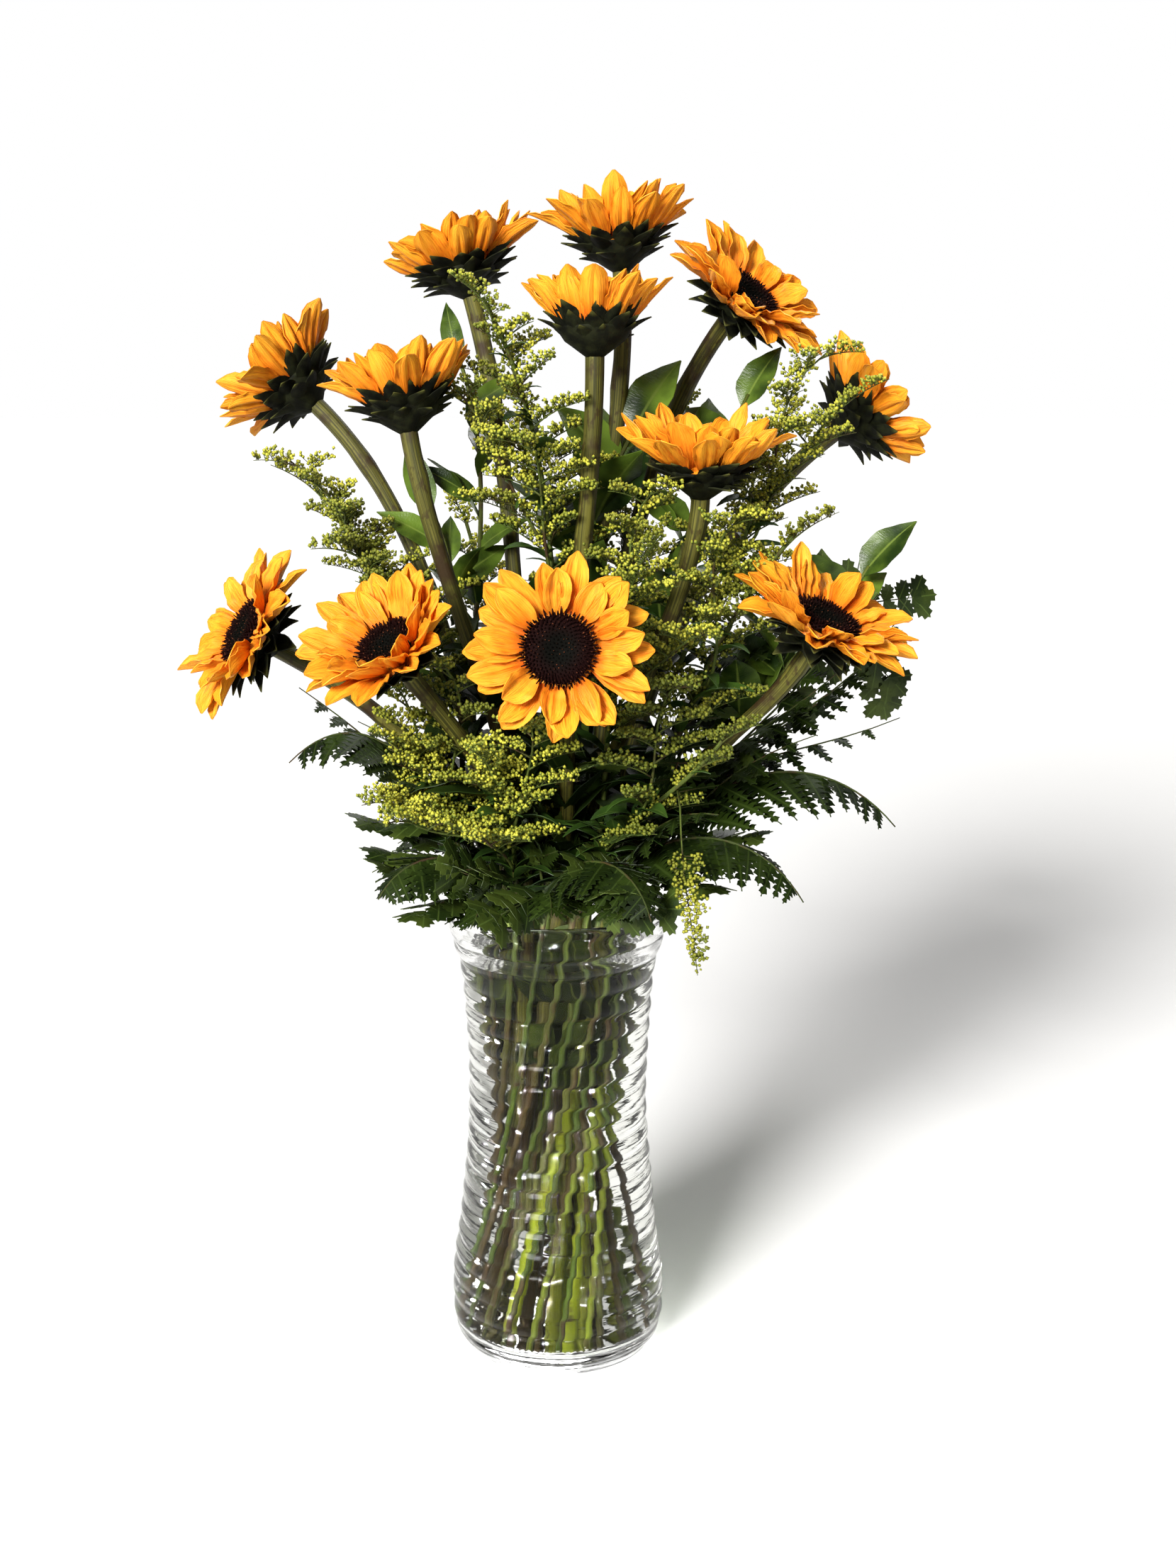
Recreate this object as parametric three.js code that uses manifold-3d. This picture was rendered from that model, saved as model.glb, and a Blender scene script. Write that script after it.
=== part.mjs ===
// Sunflowers in a vase.
//
// Twelve cut sunflowers stand with goldenrod, fern and leafy greens in a tall waisted
// vase of thick clear glass. The stems lean past each other in the water like the sticks
// of a twisted sheaf, and fan out over the rim.
// Millimetres, +Z up. The origin is the middle of the vase's flat underside, and the
// bouquet's front is toward -Y.

import * as THREE from 'three';
import { mergeVertices } from 'three/addons/utils/BufferGeometryUtils.js';
import Module from 'manifold-3d';

const wasm = await Module();
wasm.setup();

// Vase: outer radius at a few heights, from the foot to the rim
const VASE_HEIGHT = 280;
const VASE_OUTLINE = [
  [0, 57], [6, 61], [29, 64.4], [82, 59.3], [155, 53.5], [207, 55], [243, 58.4], [266, 64.5], [280, 65.2],
];
const VASE_SIDES = 16;
const WALL = 5;
const FLOOR = 12;
const RIPPLE_PITCH = 13;
const RIPPLE_DEPTH = 0.9;
const INSIDE_ROWS = 5;
const RIM_ROUND = 2;
const FLOOR_ROUND = { rise: 6, reach: 5 };

// Water, and how far pieces that only touch stay apart
const WATER_LEVEL = 250;
const GAP = 0.3;
const HOLE_GAP = 0.4;

// Joined faces this near one plane count as flat, and a finished body has no edge shorter
// than a whisker
const FLATNESS = 0.004;
const WHISKER = 0.02;

// The sheaf: how far from the axis the outermost stems stand at the floor and at the
// rim, and how far round they turn on the way
const SHEAF_FOOT = 46;
const SHEAF_RIM = 48;
const SHEAF_TURN = THREE.MathUtils.degToRad(110);
const INNER_RING = 0.36;
const MIDDLE_RING = 0.72;
const OUTER_RING = 1;

// Sunflower head, along its own axis from the top of the green receptacle
const RECEPTACLE_RADIUS = 19;
const RECEPTACLE_DEPTH = 15;
const PETAL_BED = { radius: 20, low: 0.3, wall: 5.2 };
const DISC = { widest: 18, rise: 4.5, relief: 1.1, sectors: 10, rings: 4 };
const PETAL = { width: 15, thickness: 1.2, rootShare: 0.6, layers: [2.2, 4.2], layerStep: 6 };
const BRACT = { length: 21, width: 9, thickness: 1.3, count: 9, below: 22 };
const STEM_RADIUS = 3.5;
const STEM_END = 0.6 * RECEPTACLE_DEPTH;
const NECK_RADIUS = 5;
const SHOULDER = { radius: 16.5, depth: 6.5 };

// Each sunflower: middle of its head, azimuth and height it faces, lift of its petals
// from flat, their length and number, and its stem's ring and azimuth at the rim
const SUNFLOWERS = [
  { at: [35, 25, 659], faces: [150, 84], lift: 46, petal: 36, count: 16, ring: INNER_RING, slot: 70 },
  { at: [-55, 70, 645], faces: [150, 72], lift: 38, petal: 34, count: 16, ring: INNER_RING, slot: 130 },
  { at: [20, -35, 612], faces: [100, 86], lift: 60, petal: 33, count: 16, ring: 0, slot: 0 },
  { at: [105, 30, 627], faces: [322, 47], lift: 24, petal: 34, count: 16, ring: INNER_RING, slot: 10 },
  { at: [-152, 45, 578], faces: [161, 39], lift: 40, petal: 34, count: 16, ring: MIDDLE_RING, slot: 150 },
  { at: [-84, -35, 571], faces: [135, 78], lift: 48, petal: 36, count: 16, ring: INNER_RING, slot: 190 },
  { at: [78, -60, 537], faces: [287, 84], lift: 42, petal: 36, count: 16, ring: INNER_RING, slot: 310 },
  { at: [174, 45, 561], faces: [14, 34], lift: 36, petal: 32, count: 16, ring: MIDDLE_RING, slot: 30 },
  { at: [-173, -20, 441], faces: [204, 30], lift: 16, petal: 33, count: 16, ring: MIDDLE_RING, slot: 180 },
  { at: [-88, -95, 443], faces: [228, 48], lift: 38, petal: 34, count: 16, ring: MIDDLE_RING, slot: 240 },
  { at: [1, -130, 450], faces: [267, 12], lift: 12, petal: 31, count: 20, ring: MIDDLE_RING, slot: 270 },
  { at: [142, -75, 453], faces: [319, 62], lift: 20, petal: 36, count: 16, ring: MIDDLE_RING, slot: 330 },
];

// Goldenrod: tip of each spray, length of its longest side plume, where they start as a
// share of the stem above the rim, and the azimuth of each from the lowest up
const GOLDENROD_STEM = 1.8;
const PLUME = { radius: 7, rings: 5, sides: 3, droop: 0.3, rise: 40 };
const GOLDENROD = [
  {
    tip: [-40, -50, 628], plume: 54, from: 0.52, sides: [5, 195, 25, 215, 320, 165, 50],
    ring: INNER_RING, slot: 250,
  },
  {
    tip: [-140, 5, 525], plume: 51, from: 0.5, sides: [0, 190, 20, 205, 80, 150],
    ring: MIDDLE_RING, slot: 210,
  },
  {
    tip: [164, -6, 576], plume: 50, from: 0.5, sides: [200, 350, 170, 15, 190, 335],
    ring: MIDDLE_RING, slot: 0,
  },
  {
    tip: [130, -50, 502], plume: 49, from: 0.45, sides: [340, 220, 0, 170, 255],
    ring: OUTER_RING, slot: 320,
  },
  {
    tip: [44, -88, 492], plume: 48, from: 0.45, sides: [300, 200, 50, 250, 340],
    ring: MIDDLE_RING, slot: 300,
  },
  {
    tip: [-84, -64, 382], plume: 46, from: 0.36, sides: [200, 255, 160, 290, 220],
    ring: OUTER_RING, slot: 200,
  },
  {
    tip: [-36, -98, 380], plume: 46, from: 0.36, sides: [260, 140, 310, 235],
    ring: OUTER_RING, slot: 240,
  },
  {
    tip: [88, -98, 396], plume: 50, from: 0.3, sides: [300, 345, 250, 20, 315],
    ring: OUTER_RING, slot: 280,
  },
  {
    tip: [70, 95, 560], plume: 52, from: 0.45, sides: [60, 180, 0, 110, 220, 30],
    ring: MIDDLE_RING, slot: 60,
  },
  {
    tip: [-60, 120, 500], plume: 52, from: 0.42, sides: [120, 200, 50, 160, 240],
    ring: MIDDLE_RING, slot: 120,
  },
];

// Fern: tip of each frond, how steeply it points down there, and its width
const FERN_STEM = 1.6;
const FROND = { bareStations: 5, start: 0.27, pairs: 6, rib: 0.9, tip: 9, thickness: 0.9 };
const FERNS = [
  { tip: [-155, -22, 368], fall: 45, width: 96, ring: OUTER_RING, slot: 180 },
  { tip: [-100, -78, 302], fall: 55, width: 88, ring: OUTER_RING, slot: 220 },
  { tip: [50, -122, 302], fall: 55, width: 82, ring: OUTER_RING, slot: 260 },
  { tip: [136, -84, 302], fall: 55, width: 88, ring: OUTER_RING, slot: 300 },
  { tip: [196, -22, 330], fall: 50, width: 96, ring: OUTER_RING, slot: 340 },
  { tip: [203, 22, 450], fall: 10, width: 88, ring: OUTER_RING, slot: 20 },
  { tip: [-20, 150, 345], fall: 50, width: 96, ring: OUTER_RING, slot: 100 },
];

// Leafy greens: tip of each stem, the length and width of its leaves, where they start
// and the azimuth of each from the lowest up
const LEAFY_STEM = 1.8;
const LEAF = { thickness: 1.2, lift: 0, curl: -30, shares: [[0.34, 1], [0.7, 0.8]] };
const LEAF_RISE = 35;
const LEAFY = [
  {
    tip: [178, -8, 480], leaf: 38, width: 19, from: 0.62, sides: [200, 30, 175, 350],
    ring: OUTER_RING, slot: 0,
  },
  {
    tip: [46, 15, 560], leaf: 50, width: 24, from: 0.5, sides: [100, 300, 190, 350, 185],
    ring: MIDDLE_RING, slot: 90,
  },
  {
    tip: [112, 45, 575], leaf: 44, width: 21, from: 0.6, sides: [30, 200, 340, 140],
    ring: OUTER_RING, slot: 40,
  },
  {
    tip: [-76, 15, 515], leaf: 44, width: 17, from: 0.45, sides: [200, 330, 265, 20, 190],
    ring: OUTER_RING, slot: 160,
  },
  {
    tip: [-60, 48, 600], leaf: 42, width: 13, from: 0.5, sides: [150, 310, 200, 90, 10],
    ring: OUTER_RING, slot: 140,
  },
];

const UP = new THREE.Vector3(0, 0, 1);

const LOOKS = {
  glass: new THREE.MeshStandardMaterial({ color: 0xdfe9ea, roughness: 0.05, metalness: 0 }),
  water: new THREE.MeshStandardMaterial({ color: 0xd5e2da, roughness: 0.02, metalness: 0 }),
  stem: new THREE.MeshStandardMaterial({ color: 0x5f7226, roughness: 0.6, metalness: 0 }),
  petal: new THREE.MeshStandardMaterial({ color: 0xf7a81b, roughness: 0.55, metalness: 0 }),
  disc: new THREE.MeshStandardMaterial({ color: 0x2a1210, roughness: 0.85, metalness: 0 }),
  goldenrod: new THREE.MeshStandardMaterial({ color: 0x9aa02a, roughness: 0.7, metalness: 0 }),
  fern: new THREE.MeshStandardMaterial({ color: 0x1f3a18, roughness: 0.55, metalness: 0 }),
  leaf: new THREE.MeshStandardMaterial({ color: 0x2f5423, roughness: 0.4, metalness: 0 }),
};

const bouquet = new THREE.Group();
bouquet.name = 'sunflowers_in_a_vase';

// Everything that stands so far, for new growth to keep clear of
const standing = [];

const radians = THREE.MathUtils.degToRad;

// A fixed draw between 0 and 1, one for each kind and number
function draw(kind, number) {
  const wave = Math.sin(kind * 127.1 + number * 311.7) * 43758.5453;
  return wave - Math.floor(wave);
}

function vector(list) {
  return new THREE.Vector3(list[0], list[1], list[2]);
}

function heading(azimuth, height) {
  const flat = Math.cos(radians(height));
  return new THREE.Vector3(
    flat * Math.cos(radians(azimuth)),
    flat * Math.sin(radians(azimuth)),
    Math.sin(radians(height)),
  );
}

// Solids: a closed geometry becomes a body that can be joined and cut
function solidOf(geometry) {
  geometry.deleteAttribute('normal');
  geometry.deleteAttribute('uv');
  const merged = mergeVertices(geometry, 1e-4);
  const mesh = new wasm.Mesh({
    numProp: 3,
    vertProperties: new Float32Array(merged.attributes.position.array),
    triVerts: new Uint32Array(merged.index.array),
    tolerance: FLATNESS,
  });
  return new wasm.Manifold(mesh);
}

function joined(solids) {
  return solids.reduce((whole, piece) => whole.add(piece));
}

function boxesMeet(one, other) {
  return [0, 1, 2].every((axis) => one.min[axis] < other.max[axis] && other.min[axis] < one.max[axis]);
}

function isClear(solid) {
  const box = solid.boundingBox();
  return standing.every((other) => !boxesMeet(box, other.box) || solid.intersect(other.solid).isEmpty());
}

// A finished body is shown, and later growth keeps clear of it
function keep(name, solid, look) {
  const mesh = solid.simplify(WHISKER).getMesh();
  const geometry = new THREE.BufferGeometry();
  geometry.setAttribute('position', new THREE.BufferAttribute(new Float32Array(mesh.vertProperties), 3));
  geometry.setIndex(new THREE.BufferAttribute(new Uint32Array(mesh.triVerts), 1));
  geometry.computeVertexNormals();
  const shown = new THREE.Mesh(geometry, look);
  shown.name = name;
  bouquet.add(shown);
  standing.push({ solid, box: solid.boundingBox() });
}

// A skin over rows of points that run the same way round: triangles between the rows,
// starting at a given index
function skinBetween(rowCount, sides, first) {
  const faces = [];
  for (let row = 0; row + 1 < rowCount; row += 1) {
    for (let side = 0; side < sides; side += 1) {
      const here = first + row * sides + side;
      const next = first + row * sides + ((side + 1) % sides);
      faces.push(here, next, next + sides, here, next + sides, here + sides);
    }
  }
  return faces;
}

// A closed skin over rows of points, drawn to a point at either end or cut flat there
function loft(rows, tip, root) {
  const sides = rows[0].length;
  const points = rows.flat();
  const faces = skinBetween(rows.length, sides, 0);
  const last = (rows.length - 1) * sides;
  if (root) {
    points.push(root);
    for (let side = 0; side < sides; side += 1) {
      faces.push((side + 1) % sides, side, points.length - 1);
    }
  } else {
    for (let side = 1; side + 1 < sides; side += 1) {
      faces.push(0, side + 1, side);
    }
  }
  if (tip) {
    points.push(tip);
    for (let side = 0; side < sides; side += 1) {
      faces.push(last + side, last + ((side + 1) % sides), points.length - 1);
    }
  } else {
    for (let side = 1; side + 1 < sides; side += 1) {
      faces.push(last, last + side, last + side + 1);
    }
  }
  return indexed(points, faces);
}

function indexed(points, faces) {
  const geometry = new THREE.BufferGeometry().setFromPoints(points);
  geometry.setIndex(faces);
  return geometry;
}

// A place to grow from: x across, y the way it grows, z its upper side
function growthFrame(origin, along, upper) {
  const y = along.clone().normalize();
  const x = y.clone().cross(upper).normalize();
  const z = x.clone().cross(y);
  return new THREE.Matrix4().makeBasis(x, y, z).setPosition(origin);
}

// A blade's rows: flat above, keeled below. It leaves its root at an angle of lift and
// turns by curl on the way out. Shares are [place along, share of the full width]
// pairs. Ease makes it fatter all round.
function bladeRows({ length, width, thickness, lift, curl, shares }, ease = 0) {
  const rows = [];
  const middle = new THREE.Vector3();
  const along = new THREE.Vector3();
  let reached = 0;
  let slope = radians(lift);
  const walk = (place) => {
    slope = radians(lift + curl * ((reached + place) / 2));
    along.set(0, Math.cos(slope), Math.sin(slope));
    middle.addScaledVector(along, (place - reached) * length);
    reached = place;
  };
  for (const [place, share] of shares) {
    walk(place);
    const half = (width * share) / 2 + ease;
    const upper = new THREE.Vector3(0, -Math.sin(slope), Math.cos(slope));
    const face = middle.clone().addScaledVector(upper, ease);
    const keel = middle.clone().addScaledVector(upper, -thickness - ease);
    rows.push([
      new THREE.Vector3(-half, face.y, face.z),
      new THREE.Vector3(half, face.y, face.z),
      keel,
    ]);
  }
  walk(1);
  return { rows, tip: middle.clone().addScaledVector(along, ease) };
}

// A blade cut flat at its root, and a leaf, which is drawn to a point there too
function blade(form) {
  const { rows, tip } = bladeRows(form);
  return loft(rows, tip);
}

function leafBlade(form, ease) {
  const { rows, tip } = bladeRows(form, ease);
  return loft(rows, tip, new THREE.Vector3(0, 0, -form.thickness / 2));
}

// The first posture that keeps clear of everything standing, and of the listed pieces
// of its own plant, as a body, or nothing
function firstClear(postures, shape, own = []) {
  for (const posture of postures) {
    const guard = solidOf(shape(posture, GAP));
    if (isClear(guard) && own.every((piece) => guard.intersect(piece).isEmpty())) {
      return solidOf(shape(posture, 0));
    }
  }
  return null;
}

// A stem's course: its stations joined by straight runs
class Course extends THREE.Curve {
  constructor(stations) {
    super();
    this.stations = stations;
  }

  getPoint(t) {
    const place = t * (this.stations.length - 1);
    const index = Math.min(Math.floor(place), this.stations.length - 2);
    return this.stations[index].clone().lerp(this.stations[index + 1], place - index);
  }

  getPointAt(u) {
    return this.getPoint(u);
  }

  getTangentAt(u) {
    const index = Math.round(u * (this.stations.length - 1));
    const before = this.stations[Math.max(index - 1, 0)];
    const after = this.stations[Math.min(index + 1, this.stations.length - 1)];
    return after.clone().sub(before).normalize();
  }
}

// A stem of any taper: a round of unit radius drawn along its course, then each of its
// rings swollen to the radius at that station. Its foot is cut level.
function stemAlong(stations, radii, sides) {
  const round = new THREE.Shape();
  for (let side = 0; side < sides; side += 1) {
    const angle = (side / sides) * 2 * Math.PI;
    const go = side === 0 ? 'moveTo' : 'lineTo';
    round[go](Math.cos(angle), Math.sin(angle));
  }
  round.closePath();
  const geometry = new THREE.ExtrudeGeometry(round, {
    steps: stations.length - 1,
    extrudePath: new Course(stations),
    bevelEnabled: false,
  });
  const place = geometry.attributes.position;
  const point = new THREE.Vector3();
  const [foot, second] = stations;
  const upward = second.clone().sub(foot).normalize();
  for (let index = 0; index < place.count; index += 1) {
    point.fromBufferAttribute(place, index);
    const gaps = stations.map((station) => station.distanceToSquared(point));
    const nearest = gaps.indexOf(Math.min(...gaps));
    point.sub(stations[nearest]).multiplyScalar(radii[nearest]).add(stations[nearest]);
    if (nearest === 0) {
      point.addScaledVector(upward, (foot.z - point.z) / upward.z);
    }
    place.setXYZ(index, point.x, point.y, point.z);
  }
  return geometry;
}

// Where a stem of the sheaf is at a height: every stem keeps its place in one pattern
// that turns and narrows at the waist, so no two of them ever cross
function inSheaf(ring, slot, height) {
  const t = (height - FLOOR) / (VASE_HEIGHT - FLOOR);
  const atRim = radians(slot);
  const atFloor = atRim - SHEAF_TURN;
  const foot = SHEAF_FOOT * (1 - t);
  const rim = SHEAF_RIM * t;
  return new THREE.Vector3(
    ring * (foot * Math.cos(atFloor) + rim * Math.cos(atRim)),
    ring * (foot * Math.sin(atFloor) + rim * Math.sin(atRim)),
    height,
  );
}

// A stem's stations: straight through the water, then one even bend to its end, which
// it reaches along a given way
function stemStations({ ring, slot, end, way, rise, reach, steps }) {
  const foot = inSheaf(ring, slot, FLOOR + GAP);
  const rim = inSheaf(ring, slot, VASE_HEIGHT + 2);
  const span = rim.distanceTo(end);
  const leaving = rim.clone().sub(foot).normalize().multiplyScalar(span * rise).add(rim);
  const arriving = end.clone().addScaledVector(way, -span * reach);
  const bend = new THREE.CubicBezierCurve3(rim, leaving, arriving, end);
  return [foot, ...bend.getPoints(steps)];
}

const courses = [];

// A stem made as far as one of its stations. Its course is kept for its hole in the water.
function grownStem(plan, radii, sides, last = radii.length) {
  const stations = stemStations(plan);
  courses.push({ stations, radii, sides });
  return { stations, solid: solidOf(stemAlong(stations.slice(0, last), radii, sides)) };
}

function pointAlong(stations, share) {
  return new Course(stations).getPoint(share);
}

function wayAlong(stations, share) {
  const place = Math.min(Math.floor(share * (stations.length - 1)), stations.length - 2);
  return stations[place + 1].clone().sub(stations[place]).normalize();
}

// The share of a stem's stations at which it is above the rim
function aboveRim(stations, share) {
  const first = 1 / (stations.length - 1);
  return first + (1 - first) * share;
}

// Vase: one thick rippled wall, turned about the axis, with a flat underside
const outline = new THREE.CatmullRomCurve3(
  VASE_OUTLINE.map(([height, radius]) => new THREE.Vector3(radius, height, 0)), false, 'centripetal',
);

function vaseRadius(height) {
  let low = 0;
  let high = 1;
  while (high - low > 1e-5) {
    const middle = (low + high) / 2;
    if (outline.getPoint(middle).y < height) {
      low = middle;
    } else {
      high = middle;
    }
  }
  return outline.getPoint(low).x;
}

// The inner wall's rows, from just under the rim down to the rounding at the floor
function insideHeight(row) {
  const top = VASE_HEIGHT - RIM_ROUND;
  return top - (row / INSIDE_ROWS) * (top - FLOOR - FLOOR_ROUND.rise);
}

function floorRadius() {
  return vaseRadius(FLOOR) - WALL - FLOOR_ROUND.reach;
}

function vaseGeometry() {
  const profile = [new THREE.Vector2(0, 0), new THREE.Vector2(VASE_OUTLINE[0][1], 0)];
  const ripples = Math.floor((VASE_HEIGHT - RIPPLE_PITCH / 2) / RIPPLE_PITCH);
  for (let row = 1; row <= 2 * ripples; row += 1) {
    const height = (row * RIPPLE_PITCH) / 2;
    const wave = row % 2 === 0 ? -RIPPLE_DEPTH : RIPPLE_DEPTH;
    profile.push(new THREE.Vector2(vaseRadius(height) + wave, height));
  }
  const rim = vaseRadius(VASE_HEIGHT);
  profile.push(new THREE.Vector2(rim, VASE_HEIGHT - RIM_ROUND));
  profile.push(new THREE.Vector2(rim - WALL / 2, VASE_HEIGHT));
  for (let row = 0; row <= INSIDE_ROWS; row += 1) {
    const height = insideHeight(row);
    profile.push(new THREE.Vector2(vaseRadius(height) - WALL, height));
  }
  profile.push(new THREE.Vector2(floorRadius(), FLOOR));
  profile.push(new THREE.Vector2(0, FLOOR));
  return new THREE.LatheGeometry(profile, VASE_SIDES);
}

function turnUpright(geometry) {
  return geometry.rotateX(Math.PI / 2);
}

keep('vase', solidOf(turnUpright(vaseGeometry())), LOOKS.glass);

// Sunflower head parts, each about the head's own axis
function headFrame(flower) {
  const facing = heading(flower.faces[0], flower.faces[1]);
  const across = Math.abs(facing.z) > 0.99 ? new THREE.Vector3(0, 1, 0) : UP;
  return growthFrame(vector(flower.at), across.clone().cross(facing).cross(facing).negate(), facing);
}

function lathed(profile, sides) {
  const points = profile.map(([radius, height]) => new THREE.Vector2(radius, height));
  return turnUpright(new THREE.LatheGeometry(points, sides));
}

function receptacle() {
  return lathed([
    [0, -RECEPTACLE_DEPTH], [NECK_RADIUS, -RECEPTACLE_DEPTH],
    [SHOULDER.radius, -SHOULDER.depth], [RECEPTACLE_RADIUS, 0], [0, 0],
  ], BRACT.count);
}

// The bed that the petals are rooted in: a slice of cone whose wall faces the way that
// they lift, with a facet for each of them. Its edge is given as [radius, height].
function bedEdge(lift) {
  const { radius, low, wall } = PETAL_BED;
  const slope = radians(lift);
  return [[radius, low], [radius - wall * Math.sin(slope), low + wall * Math.cos(slope)]];
}

function bedCorners(flower) {
  return bedEdge(flower.lift).map(([radius, height]) => {
    const row = [];
    for (let number = 0; number < flower.count; number += 1) {
      const angle = ((number - 0.5) / flower.count) * 2 * Math.PI + Math.PI / 2;
      row.push(new THREE.Vector3(radius * Math.cos(angle), radius * Math.sin(angle), height));
    }
    return row;
  });
}

// A place on one facet: across from -1 to 1, and upward as a share of the wall
function onFacet([low, high], number, across, upward) {
  const next = (number + 1) % low.length;
  const below = low[number].clone().lerp(low[next], (1 - across) / 2);
  const above = high[number].clone().lerp(high[next], (1 - across) / 2);
  return below.lerp(above, upward);
}

// Bed and petals in one skin: each facet opens into the root of its petal, which is
// given by its rows and tip
function petalledBed(corners, petals) {
  const [low, high] = corners;
  const count = low.length;
  const points = [...low, ...high];
  const faces = [];
  for (let number = 1; number + 1 < count; number += 1) {
    faces.push(0, number + 1, number, count, count + number, count + number + 1);
  }
  petals.forEach((petal, number) => {
    const next = (number + 1) % count;
    const [a, b, c, d] = [number, next, count + next, count + number];
    const right = points.length;
    const left = right + 1;
    const keel = right + 2;
    points.push(...petal.rows.flat(), petal.tip);
    faces.push(a, b, keel, b, right, keel, b, c, right, c, d, right);
    faces.push(d, left, right, d, a, left, a, keel, left);
    faces.push(...skinBetween(petal.rows.length, 3, right));
    const tip = points.length - 1;
    faces.push(tip - 3, tip - 2, tip, tip - 2, tip - 1, tip, tip - 1, tip - 3, tip);
  });
  return indexed(points, faces);
}

// Disc: a low dome of florets in relief, raised in a wreath round a shallow middle
function discGeometry(lift) {
  const { widest, rise, relief, sectors, rings } = DISC;
  const [topRadius, topHeight] = bedEdge(lift)[1];
  const radius = Math.min(widest, topRadius);
  const low = topHeight + GAP;
  const rows = [];
  for (let ring = 0; ring <= rings; ring += 1) {
    const share = 1 - (ring * 0.8) / rings;
    const row = [];
    for (let sector = 0; sector < sectors; sector += 1) {
      const angle = ((sector + ring / 2) / sectors) * 2 * Math.PI;
      const knob = (sector + ring) % 2 === 0 ? relief : 0;
      const height = ring === 0 ? low : low + rise * Math.sin(share * 2.3) + knob;
      const reach = ring === 0 ? radius : radius * share;
      row.push(new THREE.Vector3(reach * Math.cos(angle), reach * Math.sin(angle), height));
    }
    rows.push(row);
  }
  return loft(rows, new THREE.Vector3(0, 0, low + rise * 0.35));
}

const RAY = [[0, 0.28], [0.42, 1], [0.78, 0.8]];
const SCALE = [[0, 1]];

// A ray of the head: a blade rooted on a circle round the head's axis
function rayFrame(head, turn, root, height) {
  const spin = new THREE.Matrix4().makeRotationZ(turn);
  const place = new THREE.Matrix4().makeTranslation(0, root, height);
  return head.clone().multiply(spin).multiply(place);
}

function flowerStem(flower) {
  const facing = heading(flower.faces[0], flower.faces[1]);
  const end = vector(flower.at).addScaledVector(facing, -STEM_END);
  const plan = { ...flower, end, way: facing, rise: 0.4, reach: 0.3, steps: 5 };
  const radii = [1, 1, 1.05, 1.12, 1.2, 1.3, 1.42].map((share) => share * STEM_RADIUS);
  return grownStem(plan, radii, 5).solid;
}

function bract(flower, index, number) {
  const shift = 0.16 * (draw(index, number) - 0.5);
  const turn = ((number + 0.5 + shift) / BRACT.count) * 2 * Math.PI + Math.PI;
  const frame = rayFrame(headFrame(flower), turn, SHOULDER.radius - 1, -SHOULDER.depth / 2);
  return blade({
    length: BRACT.length * (0.85 + 0.3 * draw(index + 20, number)),
    width: BRACT.width,
    thickness: BRACT.thickness,
    lift: flower.lift - BRACT.below,
    curl: -10,
    shares: SCALE,
  }).applyMatrix4(frame);
}

// The green body of each sunflower: stem, receptacle and the ring of bracts
SUNFLOWERS.forEach((flower, index) => {
  const pieces = [flowerStem(flower), solidOf(receptacle().applyMatrix4(headFrame(flower)))];
  for (let number = 0; number < BRACT.count; number += 1) {
    pieces.push(solidOf(bract(flower, index, number)));
  }
  keep(`sunflower_${index + 1}_stem`, joined(pieces), LOOKS.stem);
});

SUNFLOWERS.forEach((flower, index) => {
  const disc = solidOf(discGeometry(flower.lift).applyMatrix4(headFrame(flower)));
  keep(`sunflower_${index + 1}_disc`, disc, LOOKS.disc);
});

SUNFLOWERS.forEach((flower, index) => {
  const head = headFrame(flower);
  const corners = bedCorners(flower);
  const petals = [];
  for (let number = 0; number < flower.count; number += 1) {
    const layer = number % 2;
    const upward = PETAL.layers[layer] / PETAL_BED.wall;
    const place = new THREE.Matrix4().makeTranslation(onFacet(corners, number, 0, upward));
    const spin = new THREE.Matrix4().makeRotationZ((number / flower.count) * 2 * Math.PI);
    const frame = place.multiply(spin);
    const { rows, tip } = bladeRows({
      length: flower.petal * (0.88 + 0.2 * draw(index + 60, number)),
      width: PETAL.width,
      thickness: PETAL.thickness,
      lift: flower.lift + (layer - 0.5) * PETAL.layerStep,
      curl: -8 + 8 * draw(index + 80, number),
      shares: RAY,
    });
    rows.flat().concat(tip).forEach((point) => point.applyMatrix4(frame));
    const keelShare = upward - PETAL.thickness / PETAL_BED.wall;
    rows[0] = [
      onFacet(corners, number, -PETAL.rootShare, upward),
      onFacet(corners, number, PETAL.rootShare, upward),
      onFacet(corners, number, 0, keelShare),
    ];
    petals.push({ rows, tip });
  }
  const whole = solidOf(petalledBed(corners, petals).applyMatrix4(head));
  keep(`sunflower_${index + 1}_petals`, whole, LOOKS.petal);
});

// Goldenrod: a thin stem whose upper half carries arching side plumes, thick with buds
// that stand out as knobs, and narrow leaves below them
function plumeGeometry(length) {
  const rows = [];
  for (let ring = 1; ring < PLUME.rings; ring += 1) {
    const share = ring / PLUME.rings;
    const radius = PLUME.radius * Math.sin(Math.PI * (0.2 + 0.68 * share));
    const row = [];
    for (let side = 0; side < PLUME.sides; side += 1) {
      const angle = -((side + (ring % 2) / 2) / PLUME.sides) * 2 * Math.PI;
      const bend = PLUME.droop * share * share * length;
      row.push(new THREE.Vector3(
        radius * Math.cos(angle),
        share * length,
        radius * Math.sin(angle) - bend,
      ));
    }
    rows.push(row);
  }
  return loft(rows, new THREE.Vector3(0, length, -PLUME.droop * length), new THREE.Vector3());
}

const NARROW_LEAF_TURNS = [0, 25, -25, 50, -50, 75, -75, 100, -100];
const NARROW_LEAF = { length: 38, width: 8, thickness: 1, lift: 20, curl: -50, shares: [[0.42, 1]] };

function outwardOf([x, y]) {
  return Math.atan2(y, x) * (180 / Math.PI);
}

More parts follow.
